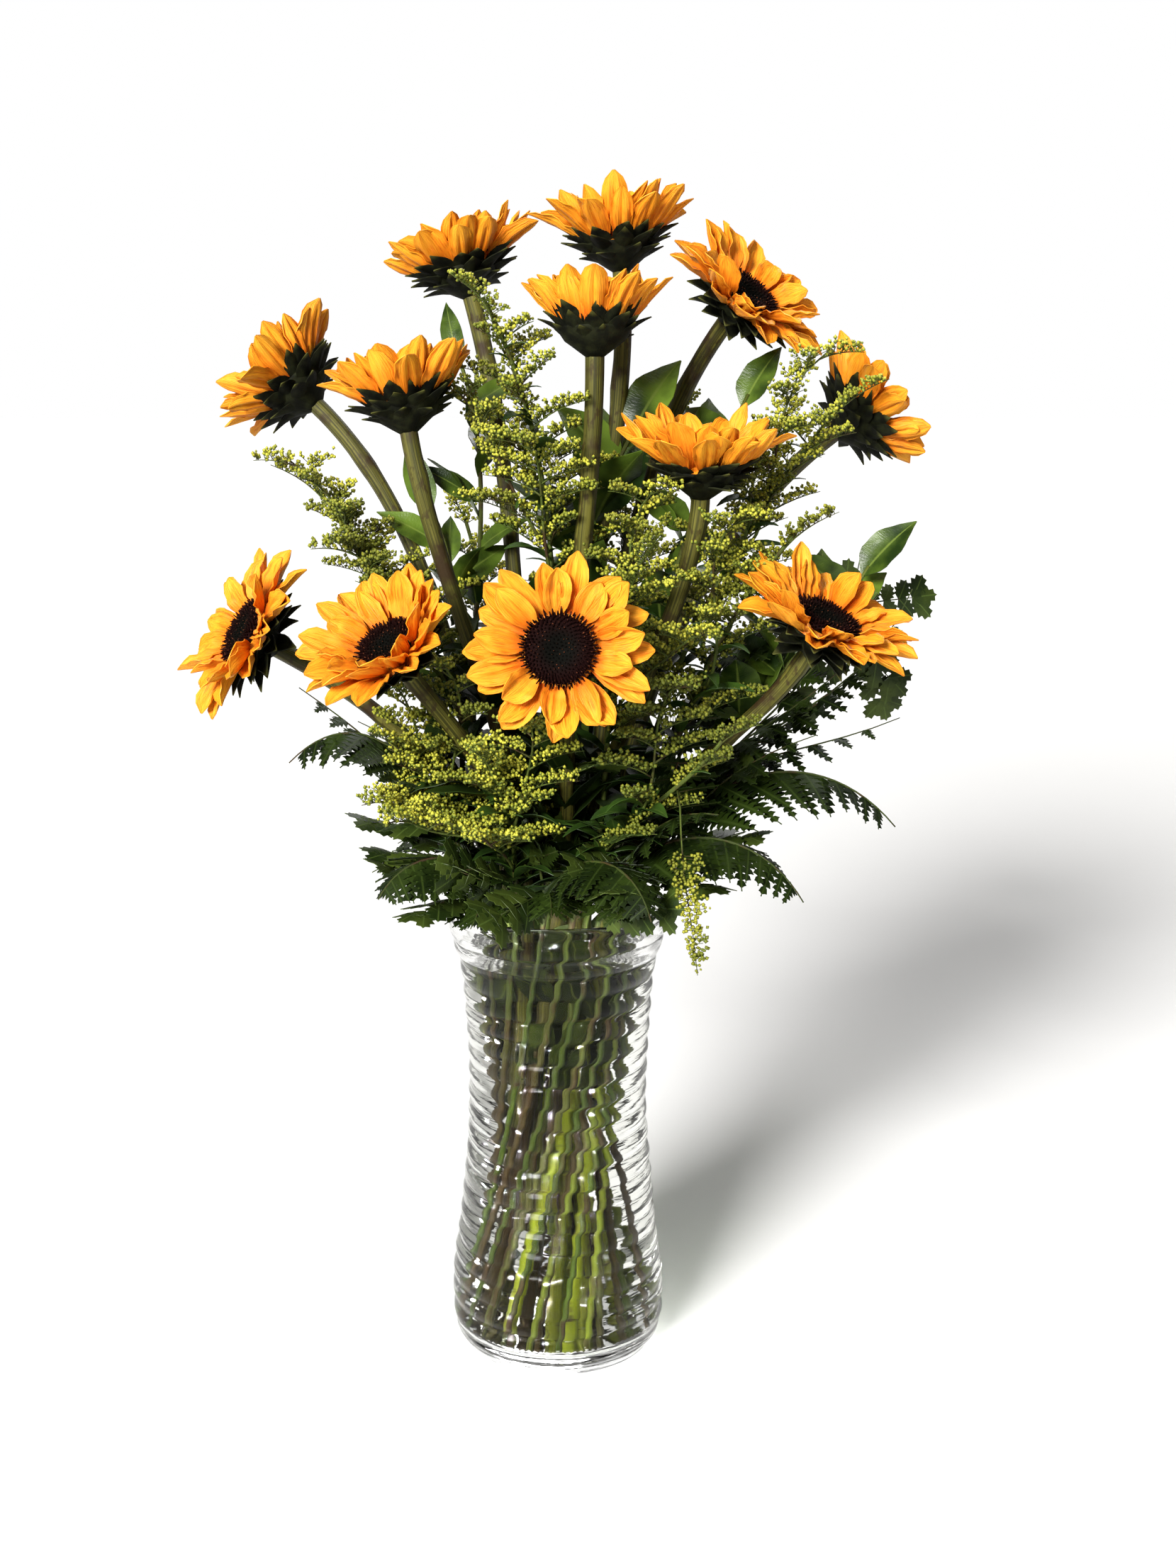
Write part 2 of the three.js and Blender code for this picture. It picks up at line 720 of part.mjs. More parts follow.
GOLDENROD.forEach((spray, index) => {
  const { tip, plume, from, sides } = spray;
  const outward = outwardOf(tip);
  const plan = { ...spray, end: vector(tip), way: heading(outward, 50), rise: 0.4, reach: 0.35, steps: 6 };
  const radii = [1, 1, 0.95, 0.9, 0.85, 0.75, 0.7, 0.6].map((share) => share * GOLDENROD_STEM);
  const { stations, solid } = grownStem(plan, radii, 3);
  const pieces = [solid];
  sides.forEach((azimuth, number) => {
    const share = aboveRim(stations, from + ((0.94 - from) * number) / sides.length);
    const length = plume * (1.1 - 0.5 * (number / sides.length));
    const frame = growthFrame(pointAlong(stations, share), heading(azimuth, PLUME.rise), UP);
    pieces.push(solidOf(plumeGeometry(length).applyMatrix4(frame)));
  });
  const last = aboveRim(stations, 0.94);
  const top = growthFrame(pointAlong(stations, last), wayAlong(stations, last), heading(outward + 180, 60));
  pieces.push(solidOf(plumeGeometry(plume * 0.8).applyMatrix4(top)));
  [0.24, 0.38].forEach((place, number) => {
    const grown = firstClear(NARROW_LEAF_TURNS, (turn, ease) => {
      const way = heading(number * 160 + 90 * draw(index + 120, number) + turn, 20);
      const frame = growthFrame(pointAlong(stations, aboveRim(stations, place)), way, UP);
      return leafBlade(NARROW_LEAF, ease).applyMatrix4(frame);
    }, pieces.slice(1));
    if (grown) {
      pieces.push(grown);
    }
  });
  keep(`goldenrod_${index + 1}`, joined(pieces), LOOKS.goldenrod);
});

// Leafy greens: glossy pointed leaves, one by one up a slim stem
LEAFY.forEach((branch, index) => {
  const { tip, leaf, width, from, sides } = branch;
  const outward = outwardOf(tip);
  const plan = { ...branch, end: vector(tip), way: heading(outward, 60), rise: 0.4, reach: 0.3, steps: 5 };
  const radii = [1, 1, 0.95, 0.85, 0.8, 0.7, 0.6].map((share) => share * LEAFY_STEM);
  const { stations, solid } = grownStem(plan, radii, 4);
  const form = { ...LEAF, length: leaf, width };
  const pieces = [solid];
  sides.forEach((azimuth, number) => {
    const share = aboveRim(stations, from + ((0.97 - from) * number) / sides.length);
    const frame = growthFrame(pointAlong(stations, share), heading(azimuth, LEAF_RISE), UP);
    pieces.push(solidOf(leafBlade(form).applyMatrix4(frame)));
  });
  const last = aboveRim(stations, 0.97);
  const top = growthFrame(pointAlong(stations, last), wayAlong(stations, last), heading(outward + 180, 40));
  pieces.push(solidOf(leafBlade(form).applyMatrix4(top)));
  keep(`leafy_stem_${index + 1}`, joined(pieces), LOOKS.leaf);
});

// Fern: a frond arches over the rim, one thin blade whose side blades are cut to the
// rib, each with a tooth on both of its edges
function pinnaPoints(rib, nextRib, side, { length, droop }, ease) {
  const span = nextRib.point.clone().sub(rib.point);
  const reach = (share, forward, drop) => rib.point.clone()
    .addScaledVector(rib.across, side * (length * share + ease))
    .addScaledVector(span, forward)
    .addScaledVector(rib.upper, drop * (length * share));
  const slant = (0.45 * length) / span.length();
  const fall = -Math.tan(radians(droop));
  return [
    reach(0.5, 0.5 * slant + 0.12 - ease * 0.1, fall * 0.8),
    reach(1, slant + 0.5, fall),
    reach(0.55, 0.55 * slant + 0.78 + ease * 0.1, fall * 0.8),
  ];
}

function ribEdge(rib, side) {
  return rib.point.clone().addScaledVector(rib.across, side * FROND.rib);
}

// Both faces of a blade from one face: points, the triangles over them, and the edge
// round them, made thick along a given way at each point
function sheet(points, uppers, triangles, edge, thickness) {
  const above = points.map((point, index) => point.clone().addScaledVector(uppers[index], thickness / 2));
  const below = points.map((point, index) => point.clone().addScaledVector(uppers[index], -thickness / 2));
  const shift = points.length;
  const faces = [];
  triangles.forEach(([a, b, c]) => faces.push(a, b, c, a + shift, c + shift, b + shift));
  edge.forEach((from, index) => {
    const to = edge[(index + 1) % edge.length];
    faces.push(from, from + shift, to + shift, from, to + shift, to);
  });
  const geometry = new THREE.BufferGeometry().setFromPoints([...above, ...below]);
  geometry.setIndex(faces);
  return geometry;
}

// Points of one side blade with its foot on the rib, for finding a clear droop
function pinnaGuard(rib, nextRib, side, posture) {
  const outer = pinnaPoints(rib, nextRib, side, posture, GAP);
  const points = [ribEdge(rib, side), ...outer, ribEdge(nextRib, side)];
  const uppers = points.map(() => rib.upper);
  const triangles = side > 0 ? [[0, 1, 4], [1, 3, 4], [1, 2, 3]] : [[0, 4, 1], [1, 4, 3], [1, 3, 2]];
  const edge = side > 0 ? [0, 1, 2, 3, 4] : [4, 3, 2, 1, 0];
  return sheet(points, uppers, triangles, edge, FROND.thickness + 2 * GAP);
}

function frondGeometry(ribs, pinnae) {
  const points = [];
  const uppers = [];
  const triangles = [];
  const rightEdge = [];
  const leftEdge = [];
  const add = (point, rib) => {
    points.push(point);
    uppers.push(rib.upper);
    return points.length - 1;
  };
  let right = add(ribEdge(ribs[0], 1), ribs[0]);
  let left = add(ribEdge(ribs[0], -1), ribs[0]);
  rightEdge.push(right);
  leftEdge.push(left);
  pinnae.forEach(([rightBlade, leftBlade], index) => {
    const rib = ribs[index];
    const next = ribs[index + 1];
    const rightOuter = pinnaPoints(rib, next, 1, rightBlade, 0).map((point) => add(point, rib));
    const leftOuter = pinnaPoints(rib, next, -1, leftBlade, 0).map((point) => add(point, rib));
    const nextRight = add(ribEdge(next, 1), next);
    const nextLeft = add(ribEdge(next, -1), next);
    triangles.push([left, right, nextRight], [left, nextRight, nextLeft]);
    triangles.push([right, rightOuter[0], nextRight], [rightOuter[0], rightOuter[2], nextRight]);
    triangles.push([rightOuter[0], rightOuter[1], rightOuter[2]]);
    triangles.push([left, nextLeft, leftOuter[0]], [leftOuter[0], nextLeft, leftOuter[2]]);
    triangles.push([leftOuter[0], leftOuter[2], leftOuter[1]]);
    rightEdge.push(...rightOuter, nextRight);
    leftEdge.push(...leftOuter, nextLeft);
    right = nextRight;
    left = nextLeft;
  });
  const end = ribs[ribs.length - 1];
  const tip = add(end.point.clone().addScaledVector(end.way, FROND.tip), end);
  triangles.push([left, right, tip]);
  return sheet(points, uppers, triangles, [...rightEdge, tip, ...leftEdge.reverse()], FROND.thickness);
}

FERNS.forEach((frond, index) => {
  const tip = vector(frond.tip);
  const way = heading(outwardOf(frond.tip), -frond.fall);
  const plan = { ...frond, end: tip, way, rise: 0.5, reach: 0.5, steps: 10 };
  const radii = [1, 1, 1, 1, 0.95, 0.9, 0.85, 0.8, 0.75, 0.7, 0.6, 0.5].map((share) => share * FERN_STEM);
  const { stations, solid } = grownStem(plan, radii, 3, FROND.bareStations);
  const ribs = [];
  for (let number = 0; number <= FROND.pairs; number += 1) {
    const share = aboveRim(stations, FROND.start + ((0.97 - FROND.start) * number) / FROND.pairs);
    const way = wayAlong(stations, share);
    const across = way.clone().cross(UP).normalize();
    ribs.push({ point: pointAlong(stations, share), way, across, upper: across.clone().cross(way) });
  }
  const pinnae = [];
  for (let number = 0; number < FROND.pairs; number += 1) {
    pinnae.push([1, -1].map((side) => {
      const full = (frond.width / 2) * (1 - 0.8 * (number / FROND.pairs) ** 1.5);
      const postures = [1, 0.8, 0.6, 0.4, 0.2].flatMap((shrink) => (
        [8, 20, 0, 32, -12, 45].map((droop) => ({ length: full * shrink, droop }))
      ));
      const clear = postures.find((posture) => (
        isClear(solidOf(pinnaGuard(ribs[number], ribs[number + 1], side, posture)))
      ));
      return clear ?? { length: 3, droop: 0 };
    }));
  }
  const whole = solid.add(solidOf(frondGeometry(ribs, pinnae)));
  keep(`fern_${index + 1}`, whole, LOOKS.fern);
});

// Water: fills the vase to its level, with a plain hole round each stem
function waterGeometry() {
  const profile = [new THREE.Vector2(0, FLOOR + GAP), new THREE.Vector2(floorRadius() - GAP, FLOOR + GAP)];
  for (let row = INSIDE_ROWS; row >= 0; row -= 1) {
    const height = insideHeight(row);
    if (height < WATER_LEVEL) {
      profile.push(new THREE.Vector2(vaseRadius(height) - WALL - GAP, height));
    }
  }
  profile.push(new THREE.Vector2(vaseRadius(WATER_LEVEL) - WALL - 2 * GAP, WATER_LEVEL));
  profile.push(new THREE.Vector2(0, WATER_LEVEL));
  return turnUpright(new THREE.LatheGeometry(profile, VASE_SIDES));
}

let water = solidOf(waterGeometry());
for (const { stations, radii, sides } of courses) {
  const [foot, rim] = stations;
  const below = foot.clone().addScaledVector(rim.clone().sub(foot).normalize(), -10 * GAP);
  const bore = stemAlong([below, ...stations.slice(1)], radii.map((radius) => radius + HOLE_GAP), sides);
  water = water.subtract(solidOf(bore));
}
keep('water', water, LOOKS.water);

export default bouquet;
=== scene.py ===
import math

import bpy
import numpy as np
from mathutils import Matrix, Vector


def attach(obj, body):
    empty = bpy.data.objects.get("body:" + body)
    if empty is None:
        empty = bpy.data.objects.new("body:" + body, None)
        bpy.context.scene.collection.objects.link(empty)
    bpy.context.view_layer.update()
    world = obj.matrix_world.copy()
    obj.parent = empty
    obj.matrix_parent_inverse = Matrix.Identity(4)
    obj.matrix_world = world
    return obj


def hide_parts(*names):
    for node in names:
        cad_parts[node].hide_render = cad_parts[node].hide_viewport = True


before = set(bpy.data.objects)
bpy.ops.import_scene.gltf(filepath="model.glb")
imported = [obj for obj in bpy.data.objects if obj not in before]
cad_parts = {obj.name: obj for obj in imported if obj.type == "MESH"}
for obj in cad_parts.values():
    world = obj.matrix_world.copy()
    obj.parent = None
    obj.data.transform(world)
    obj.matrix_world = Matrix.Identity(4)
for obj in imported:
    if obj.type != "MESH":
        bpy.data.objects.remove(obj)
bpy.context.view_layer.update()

# Studio: a wide pale floor under a white sky. A soft low sun comes from the front left, a
# broad light from above and a weak one from behind. Small lamps make the glints on the glass.
CAMERA_HEIGHT = 0.606
CAMERA_DISTANCE = 1.150
CAMERA_PITCH = 12.52
FOCAL_PIXELS = 2819
FRAME_HEIGHT_PIXELS = 2212
AXIS_LEFT_OF_MIDDLE_PIXELS = 42.5
SENSOR = 36
LAMP_AZIMUTHS = (172, 190, 204, 213, 221, 229, 238, 248, 258, 266, 274, 284, 296, 312, 328, 345)
LAMP_HEIGHTS = (0.15, 0.55, 0.95, 1.35)
LAMP_DISTANCE = 2.2
LAMP_LENGTH = 0.28
LAMP_BREADTH = 0.08
LAMP_POWER = 110
VASE_MIDDLE = Vector((0, 0, 0.15))
SKY_LIGHT = 0.17
FLOOR_SIZE = 30

bpy.ops.object.select_all(action="DESELECT")
bpy.ops.object.camera_add(
    location=(0, -CAMERA_DISTANCE, CAMERA_HEIGHT), rotation=(math.radians(90 - CAMERA_PITCH), 0, 0)
)
camera = bpy.context.object
camera.data.sensor_width = SENSOR
camera.data.lens = SENSOR * FOCAL_PIXELS / FRAME_HEIGHT_PIXELS
camera.data.shift_x = AXIS_LEFT_OF_MIDDLE_PIXELS / FRAME_HEIGHT_PIXELS
bpy.context.scene.camera = camera


def sun(name, azimuth, height, strength, softness, colour):
    """A distant light that comes from an azimuth and a height in degrees."""
    turn = (math.radians(90 - height), 0, math.radians(azimuth + 90))
    bpy.ops.object.light_add(type="SUN", rotation=turn)
    light = bpy.context.object
    light.name = name
    light.data.energy = strength
    light.data.angle = math.radians(softness)
    light.data.color = colour
    return light


def glint_lamp(name, azimuth, height):
    """A long narrow lamp that hangs level and looks at the vase, for the glints on its ripples."""
    turn = math.radians(azimuth)
    place = Vector((LAMP_DISTANCE * math.cos(turn), LAMP_DISTANCE * math.sin(turn), height))
    aim = (VASE_MIDDLE - place).to_track_quat("-Z", "Y")
    bpy.ops.object.light_add(type="AREA", location=place, rotation=aim.to_euler())
    lamp = bpy.context.object
    lamp.name = name
    lamp.data.shape = "RECTANGLE"
    lamp.data.size = LAMP_LENGTH
    lamp.data.size_y = LAMP_BREADTH
    lamp.data.energy = LAMP_POWER
    lamp.data.cycles.max_bounces = 1
    lamp.visible_diffuse = False
    lamp.visible_transmission = False
    return lamp


sun("low_sun", 243, 22, strength=7.4, softness=20, colour=(1, 0.988, 0.968))
sun("top_light", 265, 66, strength=0.42, softness=40, colour=(1, 1, 1))
back_light = sun("back_light", 78, 38, strength=1.9, softness=40, colour=(1, 1, 1))
lamps = []
for number, azimuth in enumerate(LAMP_AZIMUTHS):
    lamps.append(glint_lamp(f"lamp_{number + 1}", azimuth, LAMP_HEIGHTS[number % len(LAMP_HEIGHTS)]))


class Value:
    """A shader socket that can be reckoned with."""

    def __init__(self, finish, socket):
        self.finish = finish
        self.socket = socket

    def reckon(self, operation, first, second):
        return self.finish.node("Math", {"operation": operation}, {0: first, 1: second})

    def __add__(self, other):
        return self.reckon("ADD", self, other)

    def __sub__(self, other):
        return self.reckon("SUBTRACT", self, other)

    def __rsub__(self, other):
        return self.reckon("SUBTRACT", other, self)

    def __mul__(self, other):
        return self.reckon("MULTIPLY", self, other)


class Finish:
    """A material, or the sky, built from the nodes that it needs."""

    def __init__(self, name, kind=bpy.data.materials):
        self.made = kind.new(name)
        self.made.use_nodes = True
        self.tree = self.made.node_tree
        self.tree.nodes.clear()

    def node(self, kind, settings=None, inputs=None, output=0):
        made = self.tree.nodes.new("ShaderNode" + kind)
        for name, value in (settings or {}).items():
            setattr(made, name, value)
        for key, value in (inputs or {}).items():
            if isinstance(value, Value):
                self.tree.links.new(value.socket, made.inputs[key])
            else:
                made.inputs[key].default_value = value
        return Value(self, made.outputs[output]) if made.outputs else None

    def place(self, stretch=(1, 1, 1)):
        """Object coordinates in metres, stretched."""
        where = self.node("TexCoord", output="Object")
        return self.node("Mapping", {}, {"Vector": where, "Scale": stretch})

    def grain(self, stretch=(1, 1, 1)):
        """Across and along a blade, from 0 to 1, with each blade's number, stretched."""
        where = self.node("Attribute", {"attribute_name": "grain"}, output="Vector")
        return self.node("Mapping", {}, {"Vector": where, "Scale": stretch})

    def part(self, vector, axis):
        return self.node("SeparateXYZ", {}, {0: vector}, output=axis)

    def noise(self, where, scale, detail=2):
        return self.node("TexNoise", {}, {"Vector": where, "Scale": scale, "Detail": detail})

    def each(self, scale, detail=0):
        """A value of its own for each blade, bud or stem."""
        return self.noise(self.grain((0, 0, 7.31)), scale, detail)

    def step(self, value, low, high):
        """0 below low, 1 above high, and smooth between them."""
        ends = {"Value": value, "From Min": low, "From Max": high}
        return self.node("MapRange", {"interpolation_type": "SMOOTHSTEP"}, ends)

    def mix(self, share, first, second):
        """Two colours mixed by a share."""
        inputs = {0: share}
        for key, colour in ((6, first), (7, second)):
            inputs[key] = colour if isinstance(colour, Value) else (*colour, 1)
        return self.node("Mix", {"data_type": "RGBA"}, inputs, output=2)

    def over(self, colour, tint, value, low, high, most=1):
        """A tint laid over a colour where a value rises from low to high, by a share at most."""
        share = self.step(value, low, high)
        return self.mix(share if most == 1 else share * most, colour, tint)

    def bump(self, height, strength, distance):
        return self.node("Bump", {}, {"Height": height, "Strength": strength, "Distance": distance})

    def surface(self, colour, roughness, gloss, more=None):
        """The finished opaque surface, from its principled shader's inputs."""
        inputs = {"Base Color": colour, "Roughness": roughness, "Specular IOR Level": gloss}
        skin = self.node("BsdfPrincipled", {}, {**inputs, **(more or {})})
        self.node("OutputMaterial", {}, {"Surface": skin})
        return self.made


def sky_finish():
    """White where it is seen, also through clear glass, and a weak warm light on the object."""
    sky = Finish("pale_surround", bpy.data.worlds)
    met = sky.node("LightPath", output="Is Camera Ray")
    let_through = sky.node("LightPath", output="Is Transmission Ray")
    mirrored = sky.node("LightPath", output="Glossy Depth")
    scattered = sky.node("LightPath", output="Diffuse Depth")
    seen = sky.node("Math", {"operation": "MAXIMUM"}, {0: met, 1: let_through})
    bounces = mirrored * 0.5 + scattered
    seen = sky.node("Math", {"operation": "SUBTRACT", "use_clamp": True}, {0: seen, 1: bounces})
    light = sky.node("Background", {}, {"Color": (1, 0.99, 0.96, 1), "Strength": SKY_LIGHT})
    white = sky.node("Background", {}, {"Color": (1, 1, 1, 1), "Strength": 1})
    mixed = sky.node("MixShader", {}, {0: seen, 1: light, 2: white})
    sky.node("OutputWorld", {}, {"Surface": mixed})
    return sky.made


def floor_finish():
    finish = Finish("pale_floor")
    mottle = finish.noise(finish.place(), 3)
    colour = finish.mix(mottle, (0.92, 0.92, 0.92), (0.94, 0.94, 0.94))
    return finish.surface(colour, roughness=0.9, gloss=0)


scene = bpy.context.scene
scene.view_settings.view_transform = "Standard"
scene.world = sky_finish()
bpy.ops.mesh.primitive_plane_add(size=FLOOR_SIZE)
floor = bpy.context.object
floor.name = "floor"
floor.data.materials.append(floor_finish())
unlit_floor = bpy.data.collections.new("unlit_floor")
unlit_floor.objects.link(floor)
unlit_floor.collection_objects[0].light_linking.link_state = "EXCLUDE"
back_light.light_linking.receiver_collection = unlit_floor


# Vase: thick clear glass, pressed and turned about its axis, with a waist, a flared rim and
# about twenty ripples that run round it unevenly. It stands on its own flat foot, and the
# water and all the stems stand inside it.
MILLIMETRE = 0.001
VASE_HEIGHT = 280
VASE_OUTLINE = [
    (0, 57), (6, 61), (29, 64.4), (82, 59.3), (155, 53.5), (207, 55), (243, 58.4), (266, 64.5), (280, 65.2),
]
WALL = 5
FLOOR = 12
RIPPLE_PITCH = 13
RIPPLE_DEPTH = 0.42
GROOVE_DEPTH = 0.5
GROOVE_WIDTH = 1.6
VASE_STEPS = 108


def select_only(obj):
    bpy.ops.object.select_all(action="DESELECT")
    obj.select_set(True)
    bpy.context.view_layer.objects.active = obj


def smooth_interpolation(stations, values, at):
    """A smooth curve through values at their stations, by tangents from the neighbours."""
    stations = np.asarray(stations, float)
    values = np.asarray(values, float)
    slopes = np.gradient(values, stations)
    at = np.clip(np.asarray(at, float), stations[0], stations[-1])
    index = np.clip(np.searchsorted(stations, at, side="right") - 1, 0, len(stations) - 2)
    span = stations[index + 1] - stations[index]
    t = (at - stations[index]) / span
    return (
        (2 * t**3 - 3 * t**2 + 1) * values[index]
        + (t**3 - 2 * t**2 + t) * span * slopes[index]
        + (3 * t**2 - 2 * t**3) * values[index + 1]
        + (t**3 - t**2) * span * slopes[index + 1]
    )


def new_object(name, points, edges, faces):
    """A mesh in the scene, from points in millimetres."""
    mesh = bpy.data.meshes.new(name)
    mesh.from_pydata((np.asarray(points, float) * MILLIMETRE).tolist(), edges, faces)
    obj = bpy.data.objects.new(name, mesh)
    scene.collection.objects.link(obj)
    return obj


def finish_piece(obj, name, material, nodes):
    """Names a piece, gives it its material and hands it to the frame in place of its solids."""
    obj.name = name
    obj.data.name = name
    obj.data.materials.clear()
    obj.data.materials.append(material)
    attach(obj, "root")
    if nodes:
        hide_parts(*nodes)


def vase_radius(height):
    return smooth_interpolation([h for h, _ in VASE_OUTLINE], [r for _, r in VASE_OUTLINE], height)


def revolve(name, profile, steps):
    """A closed profile of (radius, height) points spun about the vertical axis."""
    edges = [(i, i + 1) for i in range(len(profile) - 1)]
    obj = new_object(name, [(radius, 0, height) for radius, height in profile], edges, [])
    select_only(obj)
    bpy.ops.object.mode_set(mode="EDIT")
    bpy.ops.mesh.select_all(action="SELECT")
    bpy.ops.mesh.spin(steps=steps, angle=2 * math.pi, center=(0, 0, 0), axis=(0, 0, 1))
    bpy.ops.mesh.select_all(action="SELECT")
    bpy.ops.mesh.remove_doubles(threshold=1e-5)
    bpy.ops.mesh.normals_make_consistent(inside=False)
    bpy.ops.object.mode_set(mode="OBJECT")
    return obj


def inner_corner(lift):
    """The rounded turn from the vase's wall to its floor, and on to the axis."""
    corner = float(vase_radius(FLOOR)) - WALL
    return [(corner - 0.6, FLOOR + 6), (corner - 3, FLOOR + 2), (corner - 9, FLOOR + lift), (0, FLOOR + lift)]


def vase_profile():
    outside = [(0, 0), (30, 0.4), (52, 0.6), (56, 0), (57.5, 0.5)]
    outside += [(float(vase_radius(z)), z) for z in np.arange(1.6, VASE_HEIGHT - 3, 1.1)]
    half = WALL / 2
    middle = float(vase_radius(VASE_HEIGHT)) - half
    lip = []
    for angle in np.linspace(0, math.pi, 9):
        lip.append((middle + half * math.cos(angle), VASE_HEIGHT - half + half * math.sin(angle)))
    inside = [(float(vase_radius(z)) - WALL, z) for z in np.arange(VASE_HEIGHT - 6, FLOOR + 10, -4)]
    return outside + lip + inside + inner_corner(0)


def ripple(points):
    """Moves a vase's points, in millimetres, out and in over its ripples."""
    x, y, z = points.T
    turn = np.arctan2(y, x)
    radius = np.hypot(x, y)
    lean = 1.7 * np.sin(turn + z * 0.021) + 0.9 * np.sin(2 * turn - z * 0.05)
    lean += 0.25 * np.sin(5 * turn + z * 0.11)
    place = (z + lean) / RIPPLE_PITCH
    swell = 1 + 0.3 * np.sin(3 * turn + z * 0.07) + 0.12 * np.sin(7 * turn - z * 0.13)
    from_groove = (place - np.round(place)) * RIPPLE_PITCH
    groove = np.exp(-((from_groove / GROOVE_WIDTH) ** 2))
    wave = -np.cos(2 * math.pi * place)
    fade = np.clip(z / 12, 0, 1) * np.clip((VASE_HEIGHT - z) / 12, 0, 1)
    outside = radius > vase_radius(z) - WALL / 2
    outer = (RIPPLE_DEPTH * wave - GROOVE_DEPTH * groove + 0.3) * swell
    push = np.where(outside, outer, -0.15 * wave) * fade
    push = np.where((z > FLOOR + 1) | outside, push, 0)
    rim_wave = np.clip((z - VASE_HEIGHT + 30) / 30, 0, 1)
    push = push + rim_wave * (0.5 * np.sin(2 * turn + 1) + 0.3 * np.sin(5 * turn))
    share = (radius + push) / np.maximum(radius, 1)
    share = np.where(radius < 1, 1, share)
    lift = rim_wave**3 * (0.5 * np.sin(3 * turn) - 0.5)
    return np.stack([x * share, y * share, z + lift], axis=1)


def reshape(obj, change):
    """Passes a mesh's points, in millimetres, through a change."""
    points = np.empty(len(obj.data.vertices) * 3)
    obj.data.vertices.foreach_get("co", points)
    moved = change(points.reshape(-1, 3) / MILLIMETRE) * MILLIMETRE
    obj.data.vertices.foreach_set("co", moved.ravel())
    obj.data.update()


def clear_finish(name, ior, tint, shine, shade, ripples, strength):
    """Glass or water: bends the light, and lets it through to what stands inside."""
    finish = Finish(name)
    height = finish.noise(finish.place((1, 1, ripples)), 38, 3)
    skin = finish.node("BsdfPrincipled", {}, {
        "Base Color": finish.mix(height, tint, (1, 1, 1)),
        "Roughness": 0.02, "IOR": ior, "Transmission Weight": 1, "Specular Tint": (*shine, 1),
        "Normal": finish.bump(height, strength, 0.001),
    })
    clear = finish.node("BsdfTransparent", {}, {"Color": (*shade, 1)})
    rays = finish.node("LightPath", output="Is Shadow Ray")
    mixed = finish.node("MixShader", {}, {0: rays, 1: skin, 2: clear})
    finish.node("OutputMaterial", {}, {"Surface": mixed})
    return finish.made


vase = revolve("vase_glass", vase_profile(), VASE_STEPS)
reshape(vase, ripple)
bpy.ops.object.shade_smooth()
glass_skin = clear_finish(
    "rippled_glass", ior=1.5, tint=(0.965, 0.975, 0.955), shine=(0.08, 0.08, 0.08),
    shade=(0.60, 0.61, 0.60), ripples=9, strength=0.17,
)
finish_piece(vase, "vase_glass", glass_skin, ["vase"])


# Stems: every stem stands on the vase's floor and keeps its place in one sheaf that turns
# and narrows at the waist, straight up to the rim, then bends out to its flower or leaf.
SHEAF_FOOT = 46
SHEAF_RIM = 48
SHEAF_TURN = 110
INNER_RING = 0.36
MIDDLE_RING = 0.72
OUTER_RING = 1
GAP = 0.3
UP = Vector((0, 0, 1))


def heading(azimuth, height):
    """The way that an azimuth and a height in degrees point."""
    turn = math.radians(azimuth)
    rise = math.radians(height)
    return Vector((math.cos(rise) * math.cos(turn), math.cos(rise) * math.sin(turn), math.sin(rise)))


def azimuth_of(point):
    return math.degrees(math.atan2(point.y, point.x))


def in_sheaf(ring, slot, height):
    t = (height - FLOOR) / (VASE_HEIGHT - FLOOR)
    foot = heading(slot - SHEAF_TURN, 0) * (ring * SHEAF_FOOT * (1 - t))
    rim = heading(slot, 0) * (ring * SHEAF_RIM * t)
    return foot + rim + Vector((0, 0, height))


def frac_draw(kind, number):
    """A fixed draw between 0 and 1, one for each kind and number."""
    wave = math.sin(kind * 127.1 + number * 311.7) * 43758.5453
    return wave - math.floor(wave)


def stray(width, kind, number):
    """A fixed draw that strays to either side of nought, over a width."""
    return width * (frac_draw(kind, number) - 0.5)


class Course:
    """A stem's way from the vase's floor to its end, with places above the rim as shares."""

    def __init__(self, ring, slot, end, way, rise, reach, steps):
        self.foot = in_sheaf(ring, slot, FLOOR + GAP)
        self.rim = in_sheaf(ring, slot, VASE_HEIGHT + 2)
        span = (self.rim - end).length
        leaving = self.rim + (self.rim - self.foot).normalized() * (span * rise)
        self.bend = [self.rim, leaving, end - way * (span * reach), end]
        self.steps = steps

    def above(self, share):
        """A place above the rim, on the straight runs between the bend's stations."""
        place = share * self.steps
        index = min(int(place), self.steps - 1)
        return self.on_bend(index / self.steps).lerp(self.on_bend((index + 1) / self.steps), place - index)

    def way(self, share):
        index = min(int(share * self.steps), self.steps - 1)
        return (self.on_bend((index + 1) / self.steps) - self.on_bend(index / self.steps)).normalized()

    def spot(self, share, azimuth, rise, upper=UP):
        """A place to grow from above the rim, in the way of an azimuth and a rise in degrees."""
        return growth_frame(self.above(share), heading(azimuth, rise), upper)

    def on_bend(self, t):
        a, b, c, d = self.bend
        return a * (1 - t) ** 3 + b * (3 * t * (1 - t) ** 2) + c * (3 * t**2 * (1 - t)) + d * t**3

    def line(self, below, over):
        """Points from the foot: so many below the rim, and so many over it."""
        low = [self.foot.lerp(self.rim, i / below) for i in range(below)]
        return low + [self.on_bend(i / over) for i in range(over + 1)]


class Shoot(Course):
    """A side shoot that starts on another stem."""

    def __init__(self, root, leaving, end, way):
        span = (root - end).length
        self.rim = root
        self.bend = [root, root + leaving * (span * 0.45), end - way * (span * 0.4), end]
        self.steps = 10


